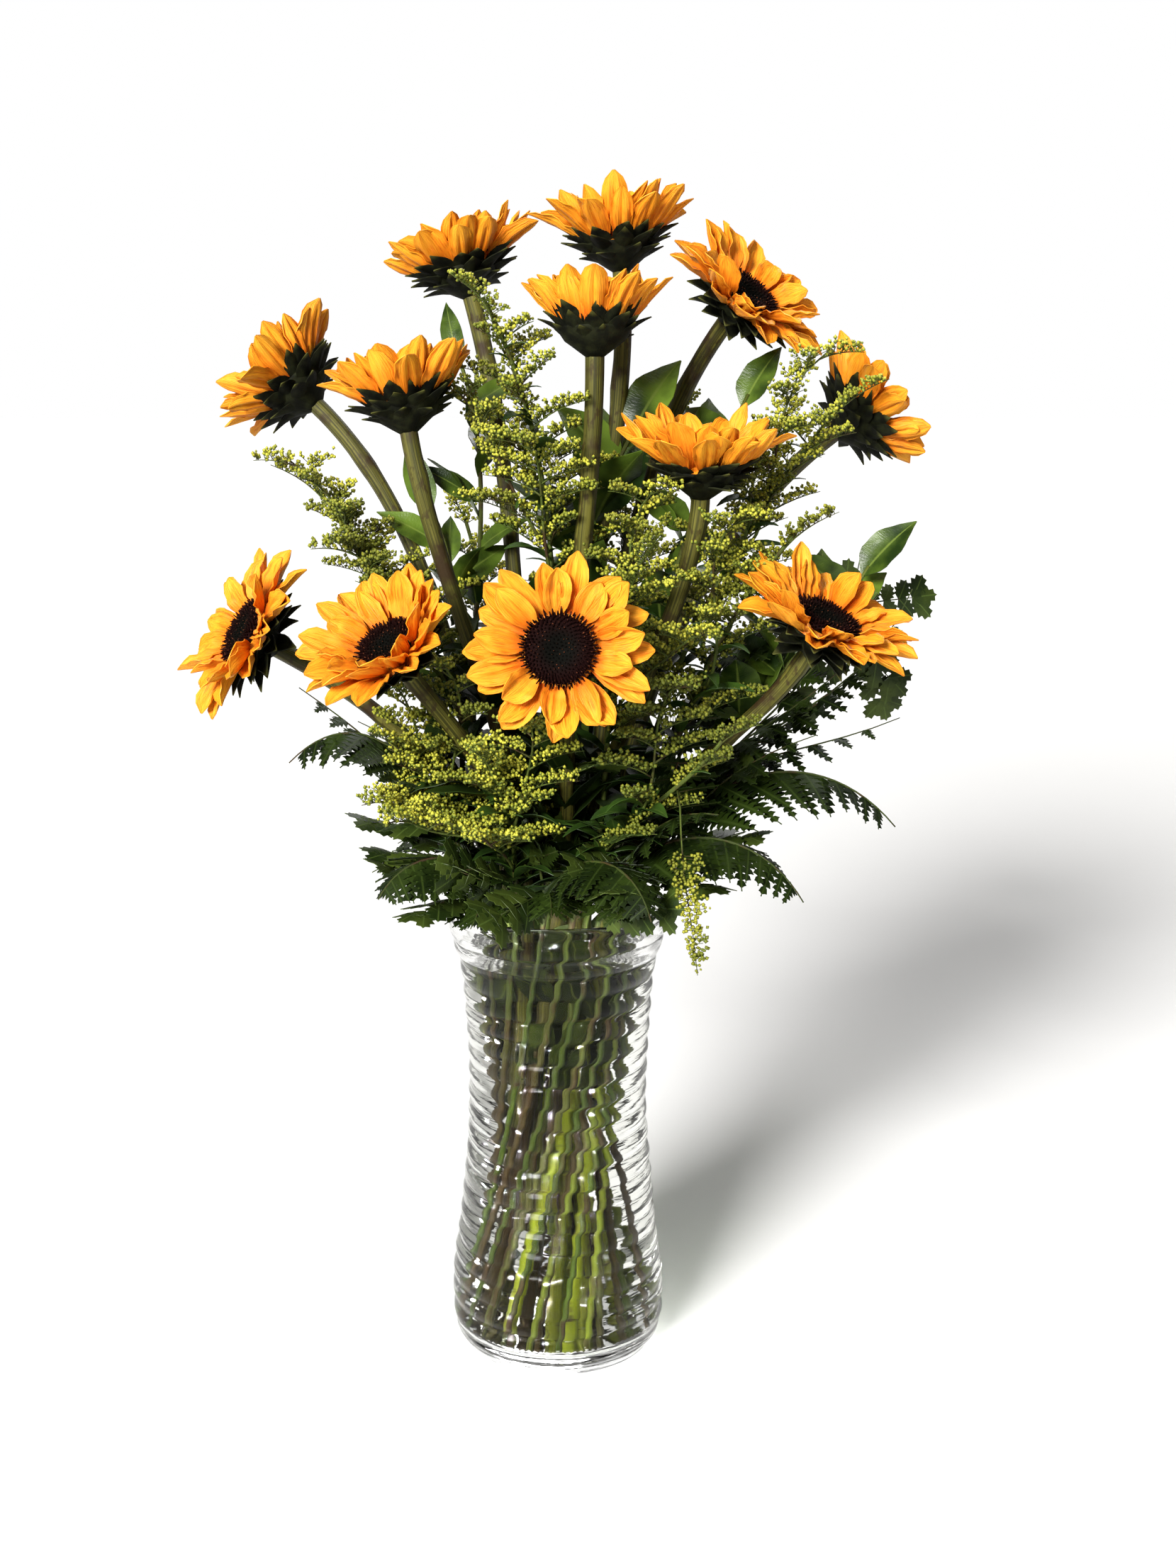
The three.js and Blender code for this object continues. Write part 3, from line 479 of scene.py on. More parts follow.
def growth_frame(origin, along, upper):
    """A place to grow from: x across, y the way it grows, z its upper side."""
    y = along.normalized()
    x = y.cross(upper).normalized()
    z = x.cross(y)
    return Matrix.Translation(origin) @ Matrix((x, y, z)).transposed().to_4x4()


class Growth:
    """Simple closed forms and open blades, gathered into the mesh of one piece."""

    def __init__(self, number=0):
        self.points = []
        self.faces = []
        self.grain = []
        self.total = 0
        self.number = number

    def add(self, points, faces, grain=None, place=None):
        """Adds a form. Its grain is across and along it, and gets the form's number."""
        points = np.asarray(points, float)
        if place is not None:
            turn = np.array(place)
            points = points @ turn[:3, :3].T + turn[:3, 3]
        if grain is None:
            grain = np.full((len(points), 2), 0.5)
        number = np.full((len(points), 1), float(self.number))
        self.points.append(points)
        self.grain.append(np.hstack([grain, number]))
        self.faces.extend([tuple(corner + self.total for corner in face) for face in faces])
        self.total += len(points)
        self.number += 1

    def piece(self, name, material, nodes, slot, thickness=0):
        obj = new_object(name, np.vstack(self.points), [], self.faces)
        grain = obj.data.attributes.new("grain", "FLOAT_VECTOR", "POINT")
        grain.data.foreach_set("vector", np.vstack(self.grain).ravel())
        select_only(obj)
        if thickness:
            wall = obj.modifiers.new("thickness", "SOLIDIFY")
            wall.thickness = thickness * MILLIMETRE
            wall.offset = 0
            bpy.ops.object.modifier_apply(modifier=wall.name)
            bpy.ops.object.shade_smooth_by_angle(angle=math.radians(65))
        else:
            bpy.ops.object.shade_smooth()
        finish_piece(obj, name, material, nodes)


def tube(line, radii, sides):
    """A stem along a line of points, with a closed end at each end."""
    line = [Vector(point) for point in line]
    count = len(line)
    across = Vector((1, 0, 0))
    points = []
    grain = []
    for index, here in enumerate(line):
        before = line[max(index - 1, 0)]
        after = line[min(index + 1, count - 1)]
        way = (after - before).normalized()
        across = (across - way * across.dot(way)).normalized()
        other = way.cross(across)
        for side in range(sides):
            angle = 2 * math.pi * side / sides
            radius = radii[index] if np.isscalar(radii[index]) else radii[index][side]
            points.append(here + (across * math.cos(angle) + other * math.sin(angle)) * radius)
            grain.append((side / sides, index / (count - 1)))
    faces = []
    for index in range(count - 1):
        for side in range(sides):
            low = index * sides + side
            next_low = index * sides + (side + 1) % sides
            faces.append((low, next_low, next_low + sides, low + sides))
    faces.append(tuple(range(sides))[::-1])
    faces.append(tuple(range((count - 1) * sides, count * sides)))
    return np.array([tuple(point) for point in points]), faces, np.array(grain)


def twig(growth, way, steps, thick, thinning, sides):
    """Adds a thin stalk along a way, which loses so much of its radius from root to end."""
    line = [way(i / steps) for i in range(steps + 1)]
    growth.add(*tube(line, [thick - thinning * i / steps for i in range(steps + 1)], sides))


def stem_radii(line, shares, base, sides, kind, joints):
    """A stem's radius at each side of each ring: its taper, ribs along it and swollen joints."""
    count = len(line)
    reach = np.linspace(0, 1, count)
    taper = base * np.interp(reach, np.linspace(0, 1, len(shares)), shares)
    side = np.arange(sides)
    ribbed = 1 + 0.05 * np.cos(side * math.pi) + 0.03 * np.sin(side * 2.1 + kind)
    radii = taper[:, None] * ribbed[None, :]
    if joints:
        for number in range(5):
            at = 0.3 + 0.14 * number + 0.1 * frac_draw(kind, number)
            bulge = np.exp(-(((reach - at) * count / 1.2) ** 2))
            lean = 0.5 + 0.5 * np.cos(side / sides * 2 * math.pi - 7 * frac_draw(kind + 1, number))
            radii += base * 0.28 * bulge[:, None] * lean[None, :]
    return list(radii)


def stem(growth, course, over, shares, base, sides, kind, joints=False):
    """Adds a course's whole stem, from the vase's floor, with so many rings over the rim."""
    line = course.line(30 if joints else 20, over)
    growth.add(*tube(line, stem_radii(line, shares, base, sides, kind, joints=joints), sides))


def stem_finish(name, shade, light, marks_and_shade, fresh):
    """Green skin with paler streaks and brown marks. Low in the vase some stems are fresher, others darker as
    painted shade.
    """
    finish = Finish(name)
    streaks = finish.noise(finish.grain((9, 1.5, 1)), 3, 3)
    patches = finish.noise(finish.place(), 55, 3)
    wet_and_shade = 1 - finish.step(finish.part(finish.place(), "Z"), 0.15, 0.28)
    each = finish.each(5)
    colour = finish.over(shade, light, streaks, 0.35, 0.7)
    colour = finish.mix(wet_and_shade * (1 - finish.step(each, 0.47, 0.53)), colour, fresh)
    # Painted shade: some stems low in the vase turn dark brown there.
    colour = finish.mix(wet_and_shade * finish.step(each, 0.53, 0.58) * 0.85, colour, marks_and_shade)
    colour = finish.over(colour, marks_and_shade, patches, 0.50, 0.68)
    scars = finish.noise(finish.place((1, 1, 0.5)), 260, 3)
    colour = finish.over(colour, marks_and_shade, scars, 0.56, 0.68, 0.75)
    ribs = finish.noise(finish.grain((14, 2, 1)), 6, 3)
    return finish.surface(colour, roughness=0.55, gloss=0.2, more={"Normal": finish.bump(ribs, 0.5, 0.0006)})


# Sunflower greens: each flower's stem, the saucer it widens into and the pointed bracts in
# three rows under the petals grow as one body, olive below and nearly black at the bracts.
SUNFLOWERS = [
    {"at": (35, 25, 659), "faces": (150, 84), "lift": 46, "petal": 36, "ring": INNER_RING, "slot": 70},
    {"at": (-55, 70, 645), "faces": (150, 72), "lift": 38, "petal": 34, "ring": INNER_RING, "slot": 130},
    {"at": (20, -35, 612), "faces": (100, 86), "lift": 60, "petal": 33, "ring": 0, "slot": 0},
    {"at": (105, 30, 627), "faces": (322, 47), "lift": 24, "petal": 34, "ring": INNER_RING, "slot": 10},
    {"at": (-152, 45, 578), "faces": (161, 39), "lift": 40, "petal": 34, "ring": MIDDLE_RING, "slot": 150},
    {"at": (-84, -35, 571), "faces": (135, 78), "lift": 48, "petal": 36, "ring": INNER_RING, "slot": 190},
    {"at": (78, -60, 537), "faces": (287, 84), "lift": 42, "petal": 36, "ring": INNER_RING, "slot": 310},
    {"at": (174, 45, 561), "faces": (14, 34), "lift": 36, "petal": 32, "ring": MIDDLE_RING, "slot": 30},
    {"at": (-173, -20, 441), "faces": (204, 30), "lift": 16, "petal": 33, "ring": MIDDLE_RING, "slot": 180},
    {"at": (-88, -95, 443), "faces": (228, 48), "lift": 38, "petal": 34, "ring": MIDDLE_RING, "slot": 240},
    {"at": (1, -130, 450), "faces": (267, 12), "lift": 12, "petal": 31, "ring": MIDDLE_RING, "slot": 270},
    {"at": (142, -75, 453), "faces": (319, 62), "lift": 20, "petal": 36, "ring": MIDDLE_RING, "slot": 330},
]
STEM_RADIUS = 3.5
STEM_SIDES = 12
STEM_TAPER = [1, 1, 1.02, 1.05, 1.12, 1.2, 1.3, 1.42]
STEM_END = 9
RECEPTACLE = [
    (0, -15), (5, -15), (8, -12.8), (12.5, -9.4), (16.5, -6.5), (18.8, -3), (20.2, -0.4), (20.9, 1.1),
    (20.3, 1.4), (20.1, 0), (0, 0),
]
BRACT_ROWS = [
    {"count": 12, "root": 16.9, "height": -1.4, "below": 6, "length": 18, "curl": 26},
    {"count": 11, "root": 15.3, "height": -5.0, "below": 14, "length": 18, "curl": 34},
    {"count": 9, "root": 10.0, "height": -9.8, "below": 22, "length": 17, "curl": 36},
]
BRACT_WIDTH = 11.5


def template(make, **settings):
    """The points and faces of a simple ready form."""
    bpy.ops.object.select_all(action="DESELECT")
    make(**settings)
    obj = bpy.context.object
    points = np.array([tuple(vertex.co) for vertex in obj.data.vertices])
    faces = [tuple(face.vertices) for face in obj.data.polygons]
    bpy.data.objects.remove(obj)
    return points, faces


def grid(across, along):
    return template(bpy.ops.mesh.primitive_grid_add, x_subdivisions=across, y_subdivisions=along, size=2)


def blade(
    growth, sheet, place, length, width, outline, lift, curl,
    cup=0, fold=0, pleats=0, roll=0, sway=0, frill=0, phase=0,
):
    """A flat grid bent into a petal, bract or leaf and added to a growth. It leaves its root at
    an angle of lift and turns by curl on the way. It can be cupped, folded at the midrib,
    pleated, rolled about its length, swayed aside and frilled at the edges."""
    side = sheet[0][:, 0]
    share = (sheet[0][:, 1] + 1) / 2
    start = math.radians(lift)
    turn = math.radians(curl if abs(curl) > 0.1 else 0.1)
    slope = start + turn * share
    run = (np.sin(slope) - math.sin(start)) / turn * length
    rise = (math.cos(start) - np.cos(slope)) / turn * length
    half = width / 2 * smooth_interpolation(outline[0], outline[1], share)
    full = width / 2
    height = cup * half * side**2 + fold * half * np.abs(side)
    depth = np.sin(math.pi * np.clip(share, 0.02, 1)) ** 0.5
    height += pleats * np.cos(side * 2.5 * math.pi) * half / full * depth
    height += frill * side**2 * np.sin(share * 17 + phase + side * 1.5) * np.sin(math.pi * share)
    twist = math.radians(roll) * share
    x = side * half * np.cos(twist) - height * np.sin(twist) + sway * share**2 * length
    h = side * half * np.sin(twist) + height * np.cos(twist)
    points = np.stack([x, run - h * np.sin(slope), rise + h * np.cos(slope)], axis=1)
    growth.add(points, sheet[1], np.stack([(side + 1) / 2, share], axis=1), place)


def head_frame(flower):
    facing = heading(*flower["faces"])
    across = Vector((0, 1, 0)) if abs(facing.z) > 0.99 else Vector((0, 0, 1))
    up = -across.cross(facing).cross(facing)
    return growth_frame(Vector(flower["at"]), up, facing)


def ray_frame(head, turn, root, height):
    """A place on a circle round a head's axis, with y pointing out."""
    return head @ Matrix.Rotation(turn, 4, "Z") @ Matrix.Translation((0, root, height))


def lathe(profile, sides):
    """A closed form round the z axis, from (radius, height) points that begin and end on it."""
    points = [(0, 0, profile[0][1])]
    grain = [(0.5, 0)]
    for index, (radius, height) in enumerate(profile[1:-1]):
        for side in range(sides):
            angle = 2 * math.pi * side / sides
            points.append((radius * math.cos(angle), radius * math.sin(angle), height))
            grain.append((side / sides, (index + 1) / len(profile)))
    points.append((0, 0, profile[-1][1]))
    grain.append((0.5, 1))
    last = len(points) - 1
    faces = []
    for side in range(sides):
        following = (side + 1) % sides
        faces.append((0, 1 + following, 1 + side))
        faces.append((last, last - sides + side, last - sides + following))
        for row in range(len(profile) - 3):
            low = 1 + row * sides
            faces.append((low + side, low + following, low + sides + following, low + sides + side))
    return points, faces, np.array(grain)


BRACT_GRID = grid(4, 5)
BRACT_OUTLINE = ([0, 0.2, 0.45, 0.68, 0.85, 1], [0.8, 1, 0.95, 0.68, 0.3, 0.04])


def bract_finish():
    finish = Finish("bract_green")
    mottle = finish.noise(finish.place(), 160, 3)
    along = finish.part(finish.grain(), "Y")
    colour = finish.over((0.003, 0.0035, 0.0015), (0.013, 0.015, 0.005), mottle, 0.35, 0.72)
    colour = finish.over(colour, (0.060, 0.062, 0.014), along, 0.75, 1.0)
    ribs = finish.noise(finish.grain((16, 2, 1)), 4, 3)
    return finish.surface(colour, roughness=0.75, gloss=0.1, more={"Normal": finish.bump(ribs, 0.5, 0.0006)})


flower_stem_skin = stem_finish(
    "flower_stem_skin", (0.028, 0.028, 0.004), (0.12, 0.110, 0.018), (0.028, 0.016, 0.005),
    (0.20, 0.235, 0.008),
)
bract_skin = bract_finish()
flower_courses = []
for index, flower in enumerate(SUNFLOWERS):
    head = head_frame(flower)
    facing = heading(*flower["faces"])
    end = Vector(flower["at"]) - facing * STEM_END
    course = Course(flower["ring"], flower["slot"], end, facing, rise=0.4, reach=0.3, steps=5)
    flower_courses.append(course)
    name = f"sunflower_{index + 1}"
    node = [f"{name}_stem"]
    stalk = Growth(index)
    stem(stalk, course, 42, STEM_TAPER, STEM_RADIUS, STEM_SIDES, index, joints=True)
    stalk.piece(f"{name}_stalk", flower_stem_skin, node, "flower_stem")
    calyx = Growth()
    calyx.add(*lathe(RECEPTACLE, 36), head)
    calyx.piece(f"{name}_saucer", bract_skin, node, "flower_stem")
    bracts = Growth()
    for row_number, row in enumerate(BRACT_ROWS):
        for number in range(row["count"]):
            kind = index * 3 + row_number + 400
            shift = stray(0.5, kind, number)
            turn = 2 * math.pi * (number + 0.5 * row_number + shift) / row["count"]
            length = row["length"] * (0.85 + 0.35 * frac_draw(kind + 50, number))
            blade(
                bracts, BRACT_GRID, ray_frame(head, turn, row["root"], row["height"]), length, BRACT_WIDTH,
                BRACT_OUTLINE, lift=flower["lift"] - row["below"],
                curl=row["curl"] * (frac_draw(kind + 90, number) - 0.75), cup=0.25, fold=0.12,
                roll=stray(30, kind + 130, number), sway=stray(0.3, kind + 170, number),
            )
    bracts.piece(f"{name}_bracts", bract_skin, node, "flower_stem", thickness=0.7)


# Petals: each flower's rays stand in three rows on the edge of the saucer. They are thin,
# grooved along their length, cupped and pointed, orange at the root and yellow to the tip.
PETAL_WIDTH = 14.3
PETAL_GRID = grid(8, 9)
PETAL_OUTLINE = ([0, 0.12, 0.28, 0.46, 0.64, 0.8, 0.91, 1], [0.34, 0.55, 0.86, 1, 1, 0.86, 0.58, 0.09])
PETAL_ROWS = [
    {"count": 12, "up": 1.4, "lean": -7, "size": 1.0},
    {"count": 11, "up": 2.8, "lean": 1, "size": 0.97},
    {"count": 9, "up": 4.1, "lean": 11, "size": 0.80},
]
BED_RADIUS = 20
BED_LOW = 0.3
BED_RISE = 5.2


def petal_finish():
    finish = Finish("petal_skin")
    along = finish.part(finish.grain(), "Y")
    streaks = finish.noise(finish.grain((7, 0.7, 3.7)), 4, 4)
    blush = finish.noise(finish.grain((0.4, 0.8, 5.3)), 2, 2)
    colour = finish.over((0.50, 0.090, 0.003), (0.73, 0.21, 0.008), along, 0.0, 0.42)
    colour = finish.over(colour, (0.84, 0.335, 0.018), along, 0.3, 0.9)
    colour = finish.over(colour, (0.60, 0.125, 0.006), streaks, 0.47, 0.66, 0.7)
    colour = finish.over(colour, (0.88, 0.42, 0.030), blush, 0.50, 0.70, 0.5)
    return finish.surface(colour, roughness=0.5, gloss=0.18, more={
        "Subsurface Weight": 0.12, "Subsurface Radius": (0.004, 0.002, 0.0005),
        "Normal": finish.bump(streaks, 0.8, 0.001),
    })


def bed_top(flower):
    """The radius and height of the bed's upper edge, which the petals lean out from."""
    slope = math.radians(flower["lift"])
    return BED_RADIUS - BED_RISE * math.sin(slope), BED_LOW + BED_RISE * math.cos(slope)


petal_skin = petal_finish()
for index, flower in enumerate(SUNFLOWERS):
    head = head_frame(flower)
    slope = math.radians(flower["lift"])
    petals = Growth()
    top = bed_top(flower)
    bed = [(0, BED_LOW), (BED_RADIUS - 1, BED_LOW), (BED_RADIUS - 0.4, BED_LOW + 0.5), top, (0, top[1])]
    petals.add(*lathe(bed, 40), head)
    for row_number, row in enumerate(PETAL_ROWS):
        for number in range(row["count"]):
            kind = 600 + index * 3 + row_number
            shift = stray(0.34, kind, number)
            turn = 2 * math.pi * (number + row_number * 0.5 + 0.25 * (row_number == 2) + shift) / row["count"]
            length = flower["petal"] * row["size"] * (0.86 + 0.22 * frac_draw(kind + 40, number))
            width = PETAL_WIDTH * (0.88 + 0.24 * frac_draw(kind + 80, number))
            root = BED_RADIUS - row["up"] * math.sin(slope) - 2 * math.cos(slope)
            height = BED_LOW + row["up"] * math.cos(slope) - 2 * math.sin(slope) * 0.5
            blade(
                petals, PETAL_GRID, ray_frame(head, turn, root, height), length + 2, width, PETAL_OUTLINE,
                lift=flower["lift"] + row["lean"] + stray(13, kind + 120, number),
                curl=-24 + 56 * frac_draw(kind + 160, number),
                cup=0.12 + 0.55 * frac_draw(kind + 200, number),
                fold=0.4 * frac_draw(kind + 360, number) - 0.1, pleats=1.5,
                roll=stray(70, kind + 240, number), sway=stray(0.3, kind + 280, number),
                frill=1.2, phase=6 * frac_draw(kind + 320, number),
            )
    name = f"sunflower_{index + 1}"
    petals.piece(f"{name}_rays", petal_skin, [f"{name}_petals"], "petal", thickness=0.45)


# Discs: each flower's middle is a low dome packed with florets in the spirals of a seed
# head. The outer ones are open, bristly and brown, and the inner ones still shut and black.
DISC_WIDEST = 18
DISC_SIDES = 36
DISC_SUNK = 0.6
FLORETS = 330
GOLDEN_ANGLE = math.pi * (3 - math.sqrt(5))
FLORET = template(bpy.ops.mesh.primitive_cone_add, vertices=5, radius1=0.75, radius2=0.3, depth=1)


def disc_height(share):
    """The disc's height at a share of its radius: hollow in the middle, highest near the edge."""
    stations = [0, 0.2, 0.35, 0.55, 0.7, 0.85, 1, 1.15]
    return float(np.interp(share, stations, [1.6, 2.4, 3.2, 4.3, 4.5, 4.2, 3.2, 1.2]))


def disc_finish():
    finish = Finish("disc_florets")
    grain = finish.grain()
    reach = finish.part(grain, "X")
    tip = finish.part(grain, "Y")
    speckle = finish.noise(finish.place(), 700, 2)
    colour = finish.over((0.0015, 0.0015, 0.0008), (0.007, 0.0010, 0.0008), reach, 0.3, 0.85)
    bright = finish.step(speckle, 0.58, 0.68) * finish.step(tip, 0.4, 1.0)
    colour = finish.mix(bright * 0.6, colour, (0.20, 0.060, 0.025))
    return finish.surface(colour, roughness=0.8, gloss=0.06)


disc_skin = disc_finish()
for index, flower in enumerate(SUNFLOWERS):
    head = head_frame(flower)
    bed_radius, bed_height = bed_top(flower)
    radius = min(DISC_WIDEST, bed_radius)
    low = bed_height + GAP - DISC_SUNK
    disc = Growth()
    profile = [(0, low), (radius - 0.6, low)]
    profile += [(radius * s * 0.985, low + disc_height(s)) for s in np.linspace(1, 0.04, 12)]
    profile.append((0, low + disc_height(0)))
    points, faces, _ = lathe(profile, DISC_SIDES)
    radial = np.hypot(np.array(points)[:, 0], np.array(points)[:, 1]) / radius
    disc.add(points, faces, np.stack([radial, np.zeros(len(radial))], axis=1), head)
    for number in range(FLORETS):
        share = 1.12 * math.sqrt((number + 0.5) / FLORETS)
        turn = number * GOLDEN_ANGLE
        length = (1.6 + 2.8 * max(share - 0.45, 0)) * (0.6 + 0.9 * frac_draw(900 + index, number))
        girth = 0.80 + 0.20 * share
        lean = max(share - 0.55, 0) * 110 + stray(34, 930 + index, number)
        form = FLORET[0] * np.array([girth, girth, length])
        tip_share = (FLORET[0][:, 2] > 0).astype(float)
        place = (
            head @ Matrix.Rotation(turn, 4, "Z")
            @ Matrix.Translation((0, radius * share, low + disc_height(share) + length * 0.3))
            @ Matrix.Rotation(math.radians(-lean), 4, "X")
        )
        disc.add(form, FLORET[1], np.stack([np.full(len(form), share), tip_share], axis=1), place)
    name = f"sunflower_{index + 1}"
    disc.piece(f"{name}_florets", disc_skin, [f"{name}_disc"], "disc")


# Goldenrod: woody stems whose upper half carries arching plumes of yellow-green buds on
# short stalks, with narrow leaves below. Each spray is one plant, cut and stood in water.
GOLDENROD = [
    {"tip": (-40, -50, 628), "plume": 54, "from": 0.52, "sides": [5, 195, 25, 215, 320, 165, 50],
     "ring": INNER_RING, "slot": 250},
    {"tip": (-140, 5, 525), "plume": 51, "from": 0.5, "sides": [0, 190, 20, 205, 80, 150],
     "ring": MIDDLE_RING, "slot": 210},
    {"tip": (164, -6, 576), "plume": 50, "from": 0.5, "sides": [200, 350, 170, 15, 190, 335],
     "ring": MIDDLE_RING, "slot": 0},
    {"tip": (130, -50, 502), "plume": 49, "from": 0.45, "sides": [340, 220, 0, 170, 255],
     "ring": OUTER_RING, "slot": 320},
    {"tip": (44, -88, 492), "plume": 48, "from": 0.45, "sides": [300, 200, 50, 250, 340],
     "ring": MIDDLE_RING, "slot": 300},
    {"tip": (-84, -64, 382), "plume": 46, "from": 0.36, "sides": [200, 255, 160, 290, 220],
     "ring": OUTER_RING, "slot": 200},
    {"tip": (-36, -98, 380), "plume": 46, "from": 0.36, "sides": [260, 140, 310, 235],
     "ring": OUTER_RING, "slot": 240},
    {"tip": (88, -98, 396), "plume": 46, "from": 0.3, "sides": [300, 345, 250, 20, 315],
     "ring": OUTER_RING, "slot": 280},
    {"tip": (70, 95, 560), "plume": 52, "from": 0.45, "sides": [60, 180, 0, 110, 220, 30],
     "ring": MIDDLE_RING, "slot": 60},
    {"tip": (-60, 120, 500), "plume": 52, "from": 0.42, "sides": [120, 200, 50, 160, 240],
     "ring": MIDDLE_RING, "slot": 120},
]
# Side sprays: the number of their stem, the share of it where they start, and their tip
SIDE_SPRAYS = [
    (5, 0.35, (-100, -62, 430)), (5, 0.30, (-62, -88, 436)), (6, 0.30, (-14, -106, 405)),
    (6, 0.35, (-80, -100, 352)), (5, 0.30, (-90, -80, 358)), (4, 0.5, (72, -92, 452)),
    (3, 0.5, (98, -66, 512)), (4, 0.55, (52, -66, 528)), (7, 0.4, (62, -108, 428)),
    (2, 0.55, (128, -28, 560)), (0, 0.55, (-68, -30, 590)), (0, 0.5, (-14, -56, 552)),
    (1, 0.5, (-118, -18, 490)), (6, 0.25, (-40, -108, 345)), (1, 0.55, (-152, -8, 540)),
    (2, 0.6, (150, -16, 600)),
]
SIDE_PLUMES = 7
EXTRA_PLUMES = (2, 2, 2, 2, 2, 2, 2, 0, 1, 1)
GOLDENROD_STEM = 1.8
GOLDENROD_TAPER = [1, 1, 0.97, 0.95, 0.9, 0.85, 0.75, 0.7, 0.6]
PLUME_RADIUS = 8.5
PLUME_DROOP = 0.3
PLUME_RISE = 40
TUFT_SPACING = 3.72
BUD_SIZE = 1.15
LOW_LEAVES = 26
LEAF_TURN = 137.5
TOP_SHARE = 0.94
HANGING_PLUME = {"spray": 7, "share": 0.7, "azimuth": 285, "rise": -30, "length": 82}


def lay_along_y(points):
    """Turns a form from standing up the z axis to lying along the y axis."""
    return points @ np.array([[1, 0, 0], [0, 0, -1], [0, 1, 0]])


BUD_POINTS, BUD_FACES, _ = lathe([(0, -1.1), (0.98, 0.1), (0, 1.25)], 5)
BUD_POINTS = lay_along_y(np.array(BUD_POINTS))
BUD_GRAIN = np.stack([np.full(len(BUD_POINTS), 0.5), BUD_POINTS[:, 1] / 2.5 + 0.5], axis=1)
NARROW_GRID = grid(2, 7)
NARROW_WIDTH = 10
NARROW_OUTLINE = ([0, 0.1, 0.3, 0.5, 0.75, 0.92, 1], [0.22, 0.5, 0.92, 1, 0.66, 0.26, 0.05])
SCALE_GRID = grid(2, 4)
SCALE_LENGTH = 15
SCALE_WIDTH = 3.6


def bud_finish(name, shade, light):
    """Buds in clumps between two colours, and painted shade that makes whole plumes darker and greener."""
    finish = Finish(name)
    clumps = finish.noise(finish.place(), 45, 2)
    top = finish.part(finish.grain(), "Y")
    single = finish.each(9, 1)
    opened = finish.over(shade, light, clumps, 0.38, 0.64)
    colour = finish.over((0.085, 0.12, 0.014), opened, top, 0.25, 0.85)
    colour = finish.over(colour, (0.15, 0.165, 0.018), single, 0.50, 0.62, 0.55)
    # Painted shade: whole plumes here and there go darker and greener.
    shaded_plumes = finish.noise(finish.place(), 13, 1)
    colour = finish.over(colour, (0.085, 0.098, 0.008), shaded_plumes, 0.50, 0.62, 0.65)
    return finish.surface(colour, roughness=0.5, gloss=0.25)


def leaf_finish(name, shade, light, rib, roughness, gloss):
    """Leaf skin: darker and lighter patches, a pale midrib and fine veins."""
    finish = Finish(name)
    patches = finish.noise(finish.place(), 45, 3)
    colour = finish.over(shade, light, patches * 0.5 + finish.each(6) * 0.5, 0.38, 0.62)
    middle = finish.node("Math", {"operation": "ABSOLUTE"}, {0: finish.part(finish.grain(), "X") - 0.5})
    colour = finish.mix((1 - finish.step(middle, 0.01, 0.05)) * 0.7, colour, rib)
    veins = finish.noise(finish.grain((3, 16, 1)), 3, 2)
    return finish.surface(colour, roughness, gloss, {"Normal": finish.bump(veins, 0.3, 0.0006)})


def plume(buds, stalks, place, length, kind, droop=PLUME_DROOP, first=0.14):
    """An arching plume: a thin spine whose short branchlets, to either side and above, carry
    their buds at their ends and along their outer halves."""
    wander = stray(0.12, kind, 5)

    def spine(share):
        aside = wander * math.sin(share * 5 + kind) * length
        return place @ Vector((aside, share * length, -droop * share * share * length))

    twig(stalks, spine, steps=6, thick=0.65, thinning=0.45, sides=4)
    turned = place.to_3x3()
    tufts = max(int(length / TUFT_SPACING), 5)
    for number in range(tufts):
        share = first + (1 - first) * (number + 0.2 + 0.6 * frac_draw(kind, number + 400)) / tufts
        spread = PLUME_RADIUS * math.sin(math.pi * (0.2 + 0.68 * share))
        for row, side in enumerate((-1, 1, 0)):
            draw = kind + 60 * row + number
            reach = spread * (0.45 + 1.0 * frac_draw(draw, 1))
            root = spine(share - 0.05 * side * side)
            out = Vector((side * 0.9, 0.2 + 0.6 * frac_draw(draw, 2), 0.35 if side else 1)).normalized()
            if not side:
                reach *= 0.6
            end = root + turned @ (out * reach)
            stalks.add(*tube([root, end], [0.3, 0.2], 3))
            for bud_number in range(5 if side else 3):
                along = 0.6 + 0.5 * bud_number / 4
                jitter = Vector((
                    frac_draw(draw, bud_number + 10) - 0.5, frac_draw(draw, bud_number + 20) - 0.5,
                    frac_draw(draw, bud_number + 30) - 0.2,
                ))
                spot = root.lerp(end, along) + turned @ (jitter * 3.8)
                way = turned @ (out * 0.5 + jitter + Vector((0, 0, 0.4)))
                size = BUD_SIZE * (0.72 + 0.5 * frac_draw(draw, bud_number + 40))
                stand = growth_frame(spot, way, Vector((0.3, 1, 0.1)))
                buds.add(BUD_POINTS * size, BUD_FACES, BUD_GRAIN, stand)


